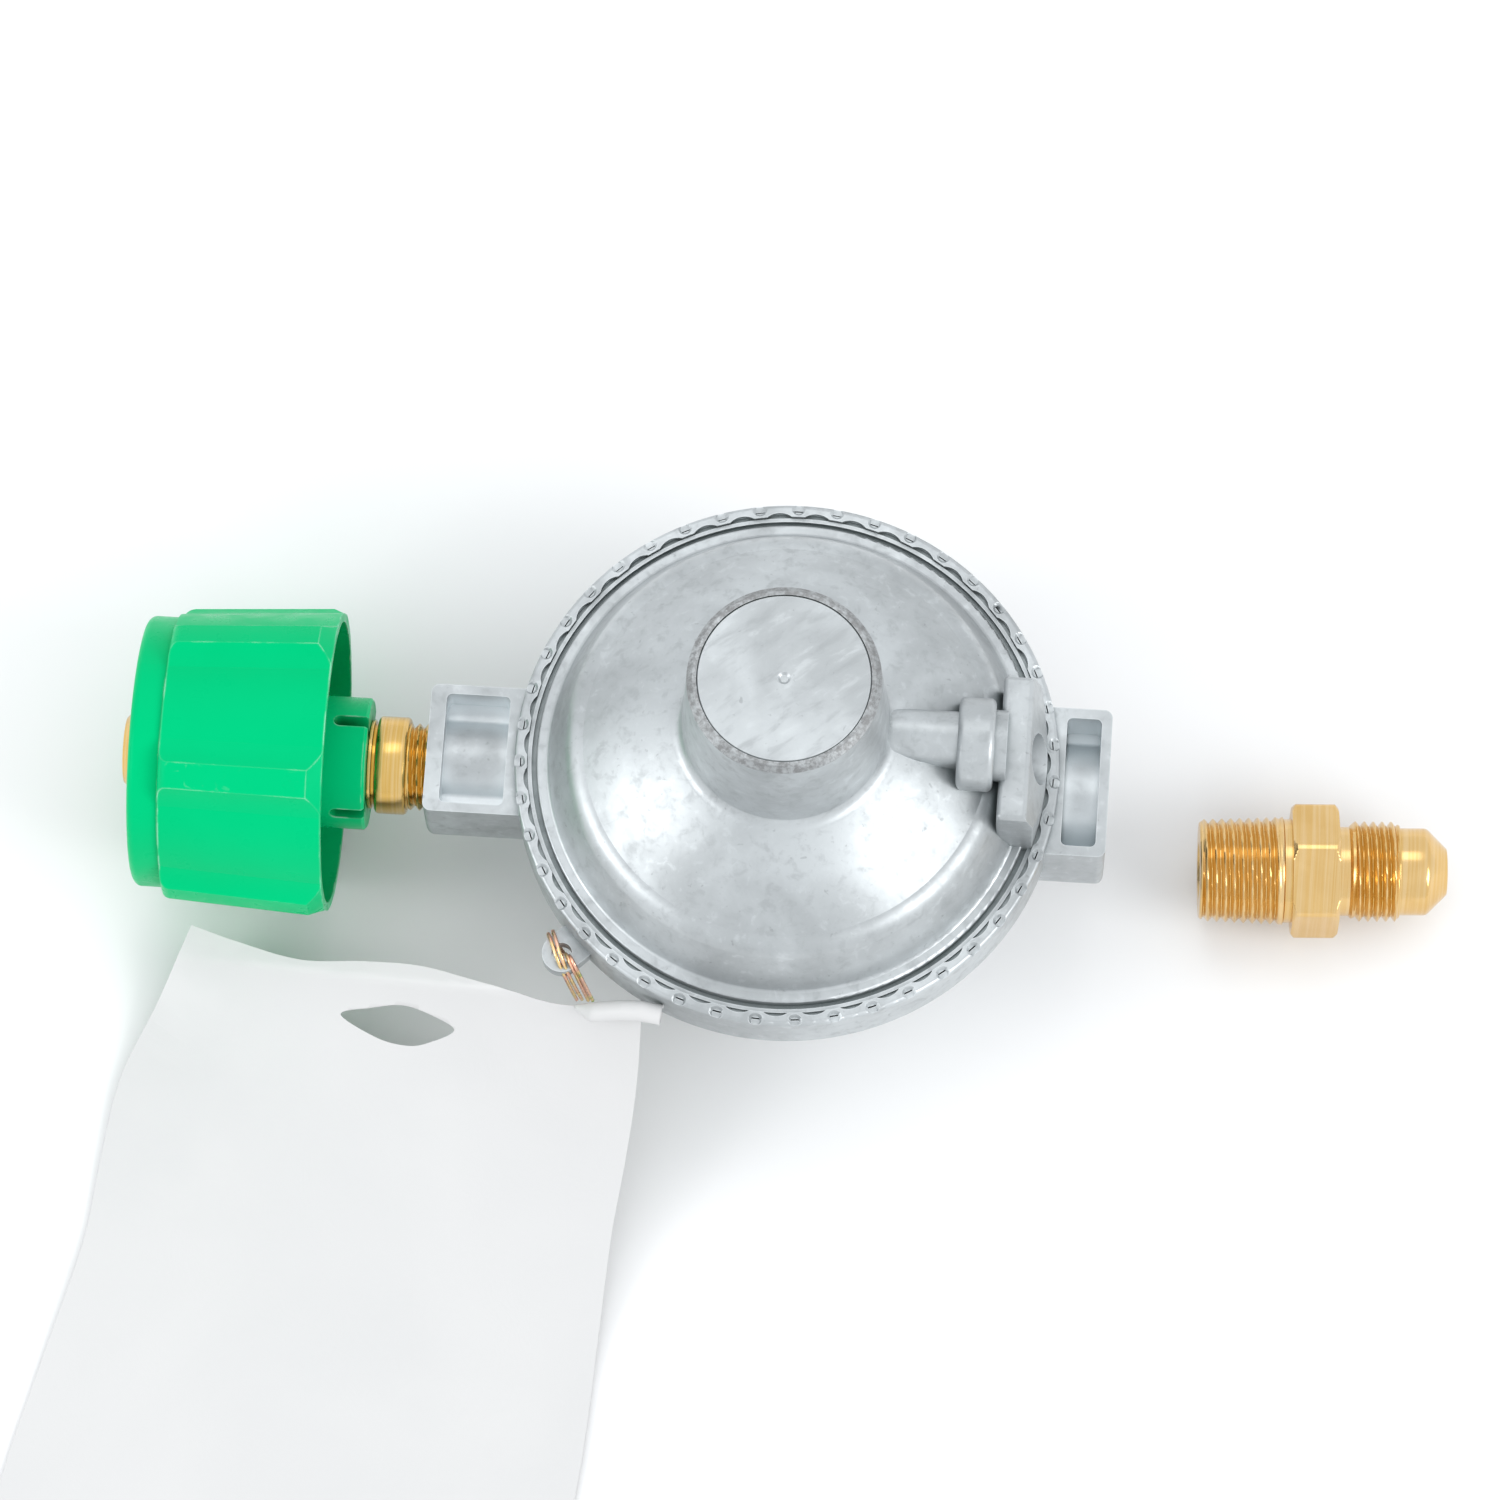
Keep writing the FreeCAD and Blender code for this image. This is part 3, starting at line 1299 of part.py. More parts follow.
def check_features():
    """Stop where an object failed, or where a feature added or cut nothing."""
    doc.recompute()
    for thing in doc.Objects:
        if "Invalid" in thing.State or "Error" in thing.State:
            raise ValueError("%s failed: %s" % (thing.Label, thing.State))
    for body in pieces:
        if body.Shape.isNull() or not body.Shape.isValid() or len(body.Shape.Solids) != 1:
            raise ValueError("%s is not one valid solid" % body.Label)
        volume = 0
        for feature in getattr(body, "Group", []):
            if not feature.TypeId.startswith("PartDesign::"):
                continue
            change = feature.Shape.Volume - volume
            volume = feature.Shape.Volume
            cuts = feature.TypeId.split("::")[1] in ("Pocket", "Groove")
            if abs(change) < 0.01 or (cuts and change > 0):
                raise ValueError("%s of %s changes nothing: %.3f" % (feature.Name, body.Label, change))


lower_casing()
cover()
spring_side()
stem()
lever()
sliding_valve()
inlet_side()
coupling_nut()
vent_screen()
flare_adapter()
hang_tag()
tag_wire()
check_features()

os.makedirs("parts", exist_ok=True)
for piece in pieces:
    piece.Shape.exportStep("parts/%s.step" % piece.Label)
print("%d pieces written" % len(pieces))
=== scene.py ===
import math

import bmesh
import bpy
from mathutils import Matrix, Vector, noise
from mathutils.bvhtree import BVHTree
from mathutils.interpolate import poly_3d_calc


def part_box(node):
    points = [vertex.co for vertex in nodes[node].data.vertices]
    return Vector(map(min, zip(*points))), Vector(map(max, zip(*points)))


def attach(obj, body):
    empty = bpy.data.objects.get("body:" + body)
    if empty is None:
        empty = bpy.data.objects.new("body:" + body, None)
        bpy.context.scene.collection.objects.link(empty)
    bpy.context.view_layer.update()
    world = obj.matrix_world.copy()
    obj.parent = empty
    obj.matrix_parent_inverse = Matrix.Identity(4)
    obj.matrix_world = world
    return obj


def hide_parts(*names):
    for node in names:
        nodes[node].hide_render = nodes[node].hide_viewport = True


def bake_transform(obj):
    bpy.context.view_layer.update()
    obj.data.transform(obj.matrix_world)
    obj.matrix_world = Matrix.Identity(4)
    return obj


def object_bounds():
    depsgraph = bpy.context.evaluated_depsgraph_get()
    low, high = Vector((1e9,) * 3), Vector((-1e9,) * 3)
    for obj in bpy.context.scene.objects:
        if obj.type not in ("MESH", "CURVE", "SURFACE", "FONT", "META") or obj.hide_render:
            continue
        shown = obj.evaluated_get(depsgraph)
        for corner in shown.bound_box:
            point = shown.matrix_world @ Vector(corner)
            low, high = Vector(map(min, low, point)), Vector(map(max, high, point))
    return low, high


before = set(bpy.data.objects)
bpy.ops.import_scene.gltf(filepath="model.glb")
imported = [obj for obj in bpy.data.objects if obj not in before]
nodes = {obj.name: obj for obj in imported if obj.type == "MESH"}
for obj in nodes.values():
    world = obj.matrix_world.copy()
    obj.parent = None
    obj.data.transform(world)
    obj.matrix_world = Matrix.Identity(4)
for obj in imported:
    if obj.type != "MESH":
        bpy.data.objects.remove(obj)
cad_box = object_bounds()

# Sizes are in millimetres unless a comment says metres, and become metres when a mesh is made.
MM = 0.001
PORT_HEIGHT = 25.4
THREAD_PITCH = 25.4 / 18

# Two places are one within this many metres, and two faces look one way above this cosine
SAME_PLACE = 1e-6
SAME_FACING = 0.999


# Material tools

class Look:
    """A procedural material: one principled shader and the nodes that feed it."""

    def __init__(self, name, **values):
        self.material = bpy.data.materials.new(name)
        self.material.use_nodes = True
        self.tree = self.material.node_tree
        self.shader = self.tree.nodes["Principled BSDF"]
        for socket, value in values.items():
            self.shader.inputs[socket.replace("_", " ")].default_value = value
        self.place = self.add("ShaderNodeTexCoord").outputs["Object"]
        self.height = None

    def add(self, kind, **settings):
        node = self.tree.nodes.new(kind)
        for setting, value in settings.items():
            setattr(node, setting, value)
        return node

    def feed(self, socket, source):
        """Links a node's output, or sets a plain value."""
        if isinstance(source, bpy.types.NodeSocket):
            self.tree.links.new(source, socket)
        else:
            socket.default_value = source

    def stretched(self, stretch, turn=(0, 0, 0)):
        """Places squeezed by stretch along axes that are turned by that much."""
        node = self.add("ShaderNodeMapping", vector_type="TEXTURE")
        self.feed(node.inputs["Vector"], self.place)
        node.inputs["Scale"].default_value = [1 / part for part in stretch]
        node.inputs["Rotation"].default_value = turn
        return node.outputs["Vector"]

    def noise(self, scale, detail=4, distortion=0, coarse=0.5, place=None):
        node = self.add("ShaderNodeTexNoise")
        self.feed(node.inputs["Vector"], place or self.place)
        node.inputs["Scale"].default_value = scale
        node.inputs["Detail"].default_value = detail
        node.inputs["Distortion"].default_value = distortion
        node.inputs["Roughness"].default_value = coarse
        return node.outputs["Fac"]

    def crevices(self, reach):
        """1 deep in a corner or gap of about that reach in millimetres, 0 in the open."""
        node = self.add("ShaderNodeAmbientOcclusion", samples=8)
        node.inputs["Distance"].default_value = reach * MM
        return self.between(node.outputs["AO"], 0.25, 0.85, 1, 0)

    def edges(self, reach):
        """1 on an edge, within about that reach in millimetres, and 0 on a plain face."""
        rounded = self.add("ShaderNodeBevel", samples=6)
        rounded.inputs["Radius"].default_value = reach * MM
        plain = self.add("ShaderNodeNewGeometry")
        alike = self.add("ShaderNodeVectorMath", operation="DOT_PRODUCT")
        self.feed(alike.inputs[0], rounded.outputs["Normal"])
        self.feed(alike.inputs[1], plain.outputs["Normal"])
        return self.between(alike.outputs["Value"], 0.86, 0.99, 1, 0)

    def math(self, operation, first, second=0.0):
        node = self.add("ShaderNodeMath", operation=operation)
        self.feed(node.inputs[0], first)
        self.feed(node.inputs[1], second)
        return node.outputs["Value"]

    def between(self, source, start, end, low=0.0, high=1.0):
        """low where the source is at start or less, high where it is at end or more."""
        node = self.add("ShaderNodeMapRange", interpolation_type="SMOOTHSTEP")
        self.feed(node.inputs["Value"], source)
        for socket, value in zip(("From Min", "From Max", "To Min", "To Max"), (start, end, low, high)):
            node.inputs[socket].default_value = value
        return node.outputs["Result"]

    def blend(self, share, first, second):
        node = self.add("ShaderNodeMix", data_type="RGBA")
        self.feed(node.inputs[0], share)
        colours = [socket for socket in node.inputs if socket.type == "RGBA"]
        for socket, colour in zip(colours, (first, second)):
            self.feed(socket, colour)
        return [socket for socket in node.outputs if socket.type == "RGBA"][0]

    def bump(self, height, depth, strength=1.0):
        """Adds relief of that depth in millimetres to the shader's normal."""
        node = self.add("ShaderNodeBump")
        node.inputs["Strength"].default_value = strength
        node.inputs["Distance"].default_value = depth * MM
        self.feed(node.inputs["Height"], height)
        if self.height:
            self.tree.links.new(self.height, node.inputs["Normal"])
        self.height = node.outputs["Normal"]
        self.tree.links.new(self.height, self.shader.inputs["Normal"])

    def colour(self, source):
        self.feed(self.shader.inputs["Base Color"], source)

    def roughness(self, source):
        self.feed(self.shader.inputs["Roughness"], source)


# Colours

# Teal-tinted painted shade for corners and gaps in the zinc
CORNER_SHADE_TEAL = (0.085, 0.12, 0.12, 1)
BURNISHED = (0.185, 0.185, 0.185, 1)
GREEN_DARK = (0.0, 0.43, 0.145, 1)
GREEN_LIGHT = (0.0, 0.50, 0.18, 1)
# Painted shade for the nut's hollows
GREEN_SHADE = (0.0, 0.20, 0.05, 1)
GREEN_SHEEN = (0.1, 1.0, 0.7, 1)
# White of the nut's scuffs, and of the painted highlights along its edges
GREEN_SCUFF_AND_GLINT = (0.42, 0.68, 0.55, 1)
BRASS_DARK = (0.62, 0.38, 0.12, 1)
BRASS_LIGHT = (0.78, 0.53, 0.23, 1)
BRASS_LINE = (0.86, 0.70, 0.46, 1)
# Painted deeper-gold shade for brass threads and hollows
BRASS_SHADE = (0.56, 0.31, 0.03, 1)
NIPPLE_DARK = (0.56, 0.33, 0.07, 1)
NIPPLE_LIGHT = (0.74, 0.49, 0.15, 1)
PLATING_GREEN = (0.26, 0.42, 0.08, 1)
PLATING_GOLD = (0.84, 0.62, 0.30, 1)
PLATING_COPPER = (0.86, 0.50, 0.36, 1)
FILM_DARK = (0.56, 0.56, 0.56, 1)
FILM_LIGHT = (0.62, 0.615, 0.61, 1)
FLOOR_DARK = (0.80, 0.80, 0.80, 1)
FLOOR_LIGHT = (0.82, 0.82, 0.82, 1)
SKY = (0.95, 0.975, 1.0, 1)


# Materials

# The nut's skirt is a cone round the port's axis, in metres: its radius at x = 0, and its taper
SKIRT_REACH = 0.0298
SKIRT_TAPER = 0.0625


def steel_grey(value):
    """A slightly cool grey."""
    return (value * 0.93, value * 0.98, value, 1)


def zinc(
    name, dark=0.42, light=0.56, streaks=(1, 1, 1), turn=(0, 0, 0), worn_above=None, lit_hollows_beyond=None
):
    """As-cast zinc alloy: softly mottled grey with fine grain and dark specks, lighter along edges, and
    teal-tinted painted shade in corners and gaps.

    From worn_above millimetres upward it is burnished darker, as an edge is that a tool rolled over.
    Where x is further than the given number of millimetres from the tower's axis, hollows get painted light
    against their shade, and less painted shade."""
    look = Look(name, Metallic=0.7)
    clouds = look.noise(60, 5, 0.4)
    mottle = look.noise(430, 7, 0.35, 0.62, look.stretched(streaks, turn))
    body = look.blend(look.between(clouds, 0.32, 0.68), steel_grey(dark), steel_grey(light))
    mottled = look.blend(look.between(mottle, 0.50, 0.70, 0, 0.45), body, steel_grey(dark * 0.8))
    pale = look.blend(look.between(mottle, 0.30, 0.45, 0.4, 0), mottled, steel_grey(light * 1.12))
    # Lighter along edges.
    edge_lightened = look.blend(look.math("MULTIPLY", look.edges(0.35), 0.45), pale, steel_grey(light * 1.3))
    specks = look.between(look.noise(900, 3, 0.4), 0.67, 0.76, 0, 0.35)
    speckled = look.blend(specks, edge_lightened, steel_grey(0.16))
    at = look.add("ShaderNodeSeparateXYZ")
    look.feed(at.inputs["Vector"], look.place)
    if worn_above:
        above = look.between(at.outputs["Z"], (worn_above - 0.2) * MM, (worn_above + 0.3) * MM)
        patchy = look.between(look.noise(1000, 6, 0.3, 0.7), 0.35, 0.62, 0.3, 0.9)
        speckled = look.blend(look.math("MULTIPLY", above, patchy), speckled, BURNISHED)
    # Painted shade: teal-tinted darkening in the corners and gaps that ambient occlusion finds.
    corner_shade = look.math("MULTIPLY", look.crevices(1.5), look.between(clouds, 0.3, 0.7, 0.45, 0.75))
    # Painted light: far from the tower's axis, hollows are lightened against their shade and their painted
    # shade is weakened.
    if lit_hollows_beyond:
        outward = look.math("ABSOLUTE", at.outputs["X"])
        outer = look.between(outward, (lit_hollows_beyond - 0.5) * MM, (lit_hollows_beyond + 0.5) * MM)
        hollow_light = look.math("MULTIPLY", look.crevices(7.0), outer)
        speckled = look.blend(hollow_light, speckled, steel_grey(0.86))
        corner_shade = look.math("MULTIPLY", corner_shade, look.between(outer, 0, 1, 1, 0.3))
    look.colour(look.blend(corner_shade, speckled, CORNER_SHADE_TEAL))
    look.roughness(look.between(mottle, 0.3, 0.7, 0.36, 0.45))
    look.bump(look.noise(1100, 4), 0.03, 0.45)
    look.bump(look.noise(260, 3, 0.3), 0.04, 0.25)
    return look.material


def moulded_green():
    """Glossy green plastic, a little uneven, with white scuffs where it stands out, painted highlights
    along its edges and painted shade in its hollows.
    """
    look = Look("moulded_green")
    look.shader.inputs["Specular IOR Level"].default_value = 0.12
    look.shader.inputs["Specular Tint"].default_value = GREEN_SHEEN
    tone = look.blend(look.noise(40, 3), GREEN_DARK, GREEN_LIGHT)
    # Painted shade: darker green in the hollows that ambient occlusion finds.
    hollow = look.blend(look.math("MULTIPLY", look.crevices(5.0), 0.6), tone, GREEN_SHADE)
    scuffed = look.between(look.noise(520, 5, 1.2, 0.7), 0.58, 0.68)
    area = look.between(look.noise(70, 2), 0.52, 0.64, 0.1, 1)
    round_axis = look.add("ShaderNodeVectorMath", operation="SUBTRACT")
    look.feed(round_axis.inputs[0], look.place)
    look.feed(round_axis.inputs[1], (0, 0, PORT_HEIGHT * MM))
    across = look.add("ShaderNodeSeparateXYZ")
    look.feed(across.inputs["Vector"], round_axis.outputs["Vector"])
    squares = [look.math("POWER", across.outputs[axis], 2.0) for axis in "YZ"]
    reach = look.math("SQRT", look.math("ADD", *squares))
    cone = look.math("MULTIPLY_ADD", across.outputs["X"], SKIRT_TAPER)
    cone.node.inputs[2].default_value = SKIRT_REACH
    proud = look.between(look.math("SUBTRACT", reach, cone), -0.0001, 0.0008)
    # Painted highlight: whitish patches along the edges, where light catches them.
    rims = look.edges(0.5)
    patches = look.between(look.noise(210, 4, 0.5), 0.48, 0.60, 0.15, 1)
    edge_glint = look.math("MULTIPLY", rims, patches)
    marks = look.math("MULTIPLY", look.math("MULTIPLY", scuffed, area), proud)
    # Real scuffs where the nut stands out, joined with the painted highlights on its edges.
    white = look.math("MAXIMUM", marks, look.math("MULTIPLY", edge_glint, 0.7))
    look.colour(look.blend(white, hollow, GREEN_SCUFF_AND_GLINT))
    look.roughness(look.between(look.noise(300, 4), 0.3, 0.7, 0.26, 0.40))
    look.bump(look.noise(900, 3), 0.02, 0.4)
    return look.material


def turned_brass(name, dark=BRASS_DARK, light=BRASS_LIGHT):
    """Machined brass with fine turning lines round the X axis, and a painted shade of deeper gold in its
    thread and other hollows.
    """
    look = Look(name, Metallic=1.0)
    lines = look.noise(1, 2, 0, 0.5, look.stretched((2600, 30, 30)))
    tone = look.blend(look.noise(120, 4, 0.5), dark, light)
    lined = look.blend(look.between(lines, 0.35, 0.7, 0, 0.3), tone, BRASS_LINE)
    # Painted shade: deeper gold in the crevices that ambient occlusion finds.
    look.colour(look.blend(look.math("MULTIPLY", look.crevices(1.0), 0.9), lined, BRASS_SHADE))
    look.roughness(look.between(look.noise(260, 3), 0.3, 0.7, 0.15, 0.27))
    look.bump(lines, 0.012, 0.6)
    return look.material


def sheet_steel(name, value=0.52):
    """Pressed or drawn steel, a little cloudy."""
    look = Look(name, Metallic=1.0)
    tone = look.noise(160, 5, 0.4)
    look.colour(look.blend(tone, steel_grey(value * 0.8), steel_grey(value)))
    look.roughness(look.between(look.noise(500, 3), 0.3, 0.7, 0.27, 0.42))
    look.bump(look.noise(1500, 2), 0.01, 0.5)
    return look.material


def soft_black(name, value=0.03, rough=0.6):
    """Black rubber or plastic."""
    look = Look(name)
    tone = look.noise(240, 4)
    look.colour(look.blend(tone, (value * 0.7,) * 3 + (1,), (value * 1.4,) * 3 + (1,)))
    look.roughness(look.between(look.noise(700, 3), 0.3, 0.7, rough - 0.1, rough + 0.1))
    look.bump(look.noise(1800, 3), 0.03, 0.5)
    return look.material


def yellow_plating():
    """Thin yellow passivation, which runs from gold through green to copper."""
    look = Look("yellow_plating", Metallic=1.0)
    shift = look.noise(210, 2, 0.8)
    green = look.blend(look.between(shift, 0.36, 0.46), PLATING_GREEN, PLATING_GOLD)
    look.colour(look.blend(look.between(shift, 0.48, 0.60), green, PLATING_COPPER))
    look.roughness(look.between(look.noise(800, 2), 0.3, 0.7, 0.18, 0.32))
    look.bump(look.noise(3000, 2), 0.01, 0.4)
    return look.material


def white_film():
    """Satin white film with faint creases."""
    look = Look("white_film")
    look.shader.inputs["Specular IOR Level"].default_value = 0.4
    look.colour(look.blend(look.noise(28, 3, 0.5), FILM_DARK, FILM_LIGHT))
    look.roughness(look.between(look.noise(90, 3), 0.3, 0.7, 0.34, 0.5))
    look.bump(look.noise(95, 4, 0.8, 0.6), 0.25, 0.5)
    look.bump(look.noise(420, 3), 0.04, 0.4)
    return look.material


# Mesh tools

def stand(name, data):
    """A new object in the scene."""
    item = bpy.data.objects.new(name, data)
    bpy.context.scene.collection.objects.link(item)
    return item


def add_piece(name, points, faces, material, smooth_angle=35):
    """A mesh piece on the housing from points in millimetres, shaded smooth up to an angle."""
    mesh = bpy.data.meshes.new(name)
    mesh.from_pydata([Vector(point) * MM for point in points], [], faces)
    mesh.validate()
    piece = stand(name, mesh)
    mesh.materials.append(material)
    shade(mesh, smooth_angle)
    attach(piece, "housing")
    return piece


def shade(mesh, smooth_angle):
    mesh.polygons.foreach_set("use_smooth", [True] * len(mesh.polygons))
    mesh.set_sharp_from_angle(angle=math.radians(smooth_angle))


def paint(mesh, material):
    """Gives a mesh this material alone."""
    mesh.materials.clear()
    mesh.materials.append(material)


def joined(mesh):
    """The mesh for editing, with points that share a place made one."""
    build = bmesh.new()
    build.from_mesh(mesh)
    bmesh.ops.remove_doubles(build, verts=build.verts, dist=SAME_PLACE)
    return build


def write_back(build, mesh):
    build.to_mesh(mesh)
    build.free()


def apply_modifiers(piece):
    """Leaves the piece with the mesh that its modifiers give."""
    made = bpy.data.meshes.new_from_object(piece.evaluated_get(bpy.context.evaluated_depsgraph_get()))
    piece.modifiers.clear()
    piece.data = made
    return made


def cut_out(piece, punch, smooth_angle):
    """Takes the punch's form out of the piece and removes the punch."""
    cut = piece.modifiers.new("cut", "BOOLEAN")
    cut.operation = "DIFFERENCE"
    cut.solver = "EXACT"
    cut.object = punch
    mesh = apply_modifiers(piece)
    bpy.data.objects.remove(punch)
    shade(mesh, smooth_angle)


def thicken(piece, thickness, offset):
    """Gives a sheet its thickness: towards its front with offset 1, to both sides with 0."""
    thick = piece.modifiers.new("film", "SOLIDIFY")
    thick.thickness = thickness * MM
    thick.offset = offset
    apply_modifiers(piece)


def grid_faces(rows, columns):
    """Faces between the points of a grid that is written row by row."""
    wide = columns + 1
    corners = (0, 1, wide + 1, wide)
    return [
        tuple(row * wide + column + corner for corner in corners)
        for row in range(rows) for column in range(columns)
    ]


# Turned pieces

# Spacing of the rings along a thread, length over which it starts, and the shares of half a pitch where
# its crest ends and that its flank takes
THREAD_STEP = 0.11
THREAD_RUN_IN = 0.3
CREST_SHARE = 0.1
FLANK_SHARE = 0.8


def turning(name, outside, inside, material, cuts, section=None, sides=240):
    """A hollow turned piece along X: outside and inside are (x, radius) from front to back.

    cuts are threads: (first x, last x, depth, run-out). section(x, angle) may limit the radius to flats."""
    stations = []
    for (x, radius), (next_x, next_radius) in zip(outside, outside[1:]):
        steps = max(1, round(abs(next_x - x) / THREAD_STEP)) if near_thread(x, next_x, cuts) else 2
        for step in range(steps):
            share = step / steps
            stations.append((x + (next_x - x) * share, radius + (next_radius - radius) * share))
    stations.append(outside[-1])
    angles = [2 * math.pi * side / sides for side in range(sides)]
    points = []
    for x, radius in stations:
        for angle in angles:
            reach = radius - thread_depth(x, angle, cuts)
            if section:
                reach = min(reach, section(x, angle))
            points.append((x, reach * math.cos(angle), reach * math.sin(angle)))
    for x, radius in reversed(inside):
        points.extend((x, radius * math.cos(angle), radius * math.sin(angle)) for angle in angles)
    rings = len(stations) + len(inside)
    faces = []
    for ring in range(rings):
        here = ring * sides
        after = (ring + 1) % rings * sides
        for side in range(sides):
            beside = (side + 1) % sides
            faces.append((here + side, here + beside, after + beside, after + side))
    return add_piece(name, points, faces, material)


def near_thread(x, next_x, cuts):
    middle = (x + next_x) / 2
    return any(first <= middle <= last for first, last, _, _ in cuts)


def thread_depth(x, angle, cuts):
    """How far below its crest a right-hand thread is at this place."""
    depth = 0
    for first, last, full, run_out in cuts:
        if first <= x <= last:
            phase = (x / THREAD_PITCH - angle / (2 * math.pi)) % 1
            flank = abs(2 * phase - 1)
            fade = min(1, (x - first) / THREAD_RUN_IN, (last - x) / run_out)
            depth = full * min(1, max(0, (flank - CREST_SHARE) / FLANK_SHARE)) * max(0, fade)
    return depth


# Casing

# Punch marks in the rim, between the stakes of the solid's lip: a truncated cone each
STAKE_COUNT = 43
STAKE_TURN = 3.3
PUNCH_REACH = 41.9
PUNCH_FLOOR = 38.7
PUNCH_UNEVEN = 0.15
PUNCH_LONG = 1.6
PUNCH_TIP = 0.7
PUNCH_MOUTH = 1.75


def dressed_casing(material):
    """The casing with a round punch mark at each blow of the staking tool."""
    casing = stand("casing_cup", nodes["lower_casing"].data.copy())
    write_back(joined(casing.data), casing.data)
    paint(casing.data, material)
    punches = stand("rim_punches", bpy.data.meshes.new("rim_punches"))
    build = bmesh.new()
    for stake in range(STAKE_COUNT):
        turn = math.radians(STAKE_TURN + 360 * (stake + 0.5) / STAKE_COUNT)
        uneven = noise.noise((stake * 1.7, 0.3, 0.9))
        reach = PUNCH_REACH + PUNCH_UNEVEN * uneven
        floor = PUNCH_FLOOR - PUNCH_UNEVEN * uneven
        place = Vector((reach * math.cos(turn), reach * math.sin(turn), floor + PUNCH_LONG / 2)) * MM
        bmesh.ops.create_cone(
            build, cap_ends=True, segments=24, radius1=PUNCH_TIP * MM, radius2=PUNCH_MOUTH * MM,
            depth=PUNCH_LONG * MM, matrix=Matrix.Translation(place),
        )
    write_back(build, punches.data)
    cut_out(casing, punches, 32)
    casing.modifiers.new("even_normals", "WEIGHTED_NORMAL").keep_sharp = True
    apply_modifiers(casing)
    take_normals(casing, nodes["lower_casing"])
    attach(casing, "housing")
    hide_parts("lower_casing")


def take_normals(casing, source):
    """Gives each face that no punch has touched the shading of the solid's face that it lies on."""
    solid = source.data
    tree = BVHTree.FromPolygons([v.co for v in solid.vertices], [face.vertices for face in solid.polygons])
    mesh = casing.data
    normals = [corner.vector.copy() for corner in mesh.corner_normals]
    for face in mesh.polygons:
        _, facing, number, distance = tree.find_nearest(face.center)
        if distance > SAME_PLACE or facing.dot(face.normal) < SAME_FACING:
            continue
        under = solid.polygons[number]
        corners = [solid.vertices[vertex].co for vertex in under.vertices]
        shades = [solid.corner_normals[loop].vector for loop in under.loop_indices]
        for loop in face.loop_indices:
            place = mesh.vertices[mesh.loops[loop].vertex_index].co
            shares = poly_3d_calc(corners, place)
            normal = sum((shade * share for shade, share in zip(shades, shares)), Vector())
            normals[loop] = normal.normalized()
    mesh.normals_split_custom_set(normals)


# Adapter

# Threads are (first x, last x, depth, run-out), here and on the nipple
ADAPTER_PLACE = Vector((65.5, -4.9, 10.97))
ADAPTER_TURN = math.radians(3.1)
ADAPTER_ROLL = math.radians(-34)
HEX_START = 14.6
HEX_END = 22.0
HEX_FLATS = 19.05
HEX_BEVEL = 1.0
HEX_BEVEL_LONG = 0.8
HEX_CORNER = 0.3
HEX_BLANK = 11
FACE_STEP = 0.001
ADAPTER_THREADS = [(0.3, 13.2, 0.66, 1.2), (24.3, 31.6, 0.75, 0.5)]


def loose_adapter():
    """The brass adapter: tapered pipe thread, hexagon, neck, flare thread and nose."""
    corner = HEX_FLATS / math.sqrt(3)

    def hexagon(x, angle):
        if not HEX_START <= x <= HEX_END:
            return math.inf
        from_flat = (angle - ADAPTER_ROLL) % (math.pi / 3) - math.pi / 6
        end = min(x - HEX_START, HEX_END - x)
        bevel = corner - HEX_BEVEL * max(0, 1 - end / HEX_BEVEL_LONG)
        return min(HEX_FLATS / 2 / math.cos(from_flat), bevel, corner - HEX_CORNER)

    outside = [
        (0.0, 7.5), (0.6, 8.1), (13.2, 8.57), (13.4, 8.2), (HEX_START - FACE_STEP, 8.2),
        (HEX_START, HEX_BLANK), (HEX_START + HEX_BEVEL_LONG / 2, HEX_BLANK),
        (HEX_START + HEX_BEVEL_LONG, HEX_BLANK), (HEX_END - HEX_BEVEL_LONG, HEX_BLANK),
        (HEX_END - HEX_BEVEL_LONG / 2, HEX_BLANK), (HEX_END, HEX_BLANK), (HEX_END + FACE_STEP, 7.05),
        (23.7, 7.05), (24.6, 7.94), (31.1, 7.94), (31.7, 7.34), (31.72, 6.9), (35.6, 6.9), (36.0, 6.8),
        (36.4, 6.5), (39.2, 3.7),
    ]
    inside = [(0.0, 4.6), (0.6, 3.9), (13.6, 3.9), (14.6, 3.0), (38.6, 3.0), (39.2, 3.3)]
    brass = turned_brass("adapter_brass")
    adapter = turning("adapter_turning", outside, inside, brass, ADAPTER_THREADS, hexagon)
    adapter.data.transform(
        Matrix.Translation(ADAPTER_PLACE * MM) @ Matrix.Rotation(ADAPTER_TURN, 4, "Z")
    )
    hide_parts("flare_adapter")


# Inlet nipple

NIPPLE_THREADS = [(-59.7, -55.0, 0.7, 0.8)]


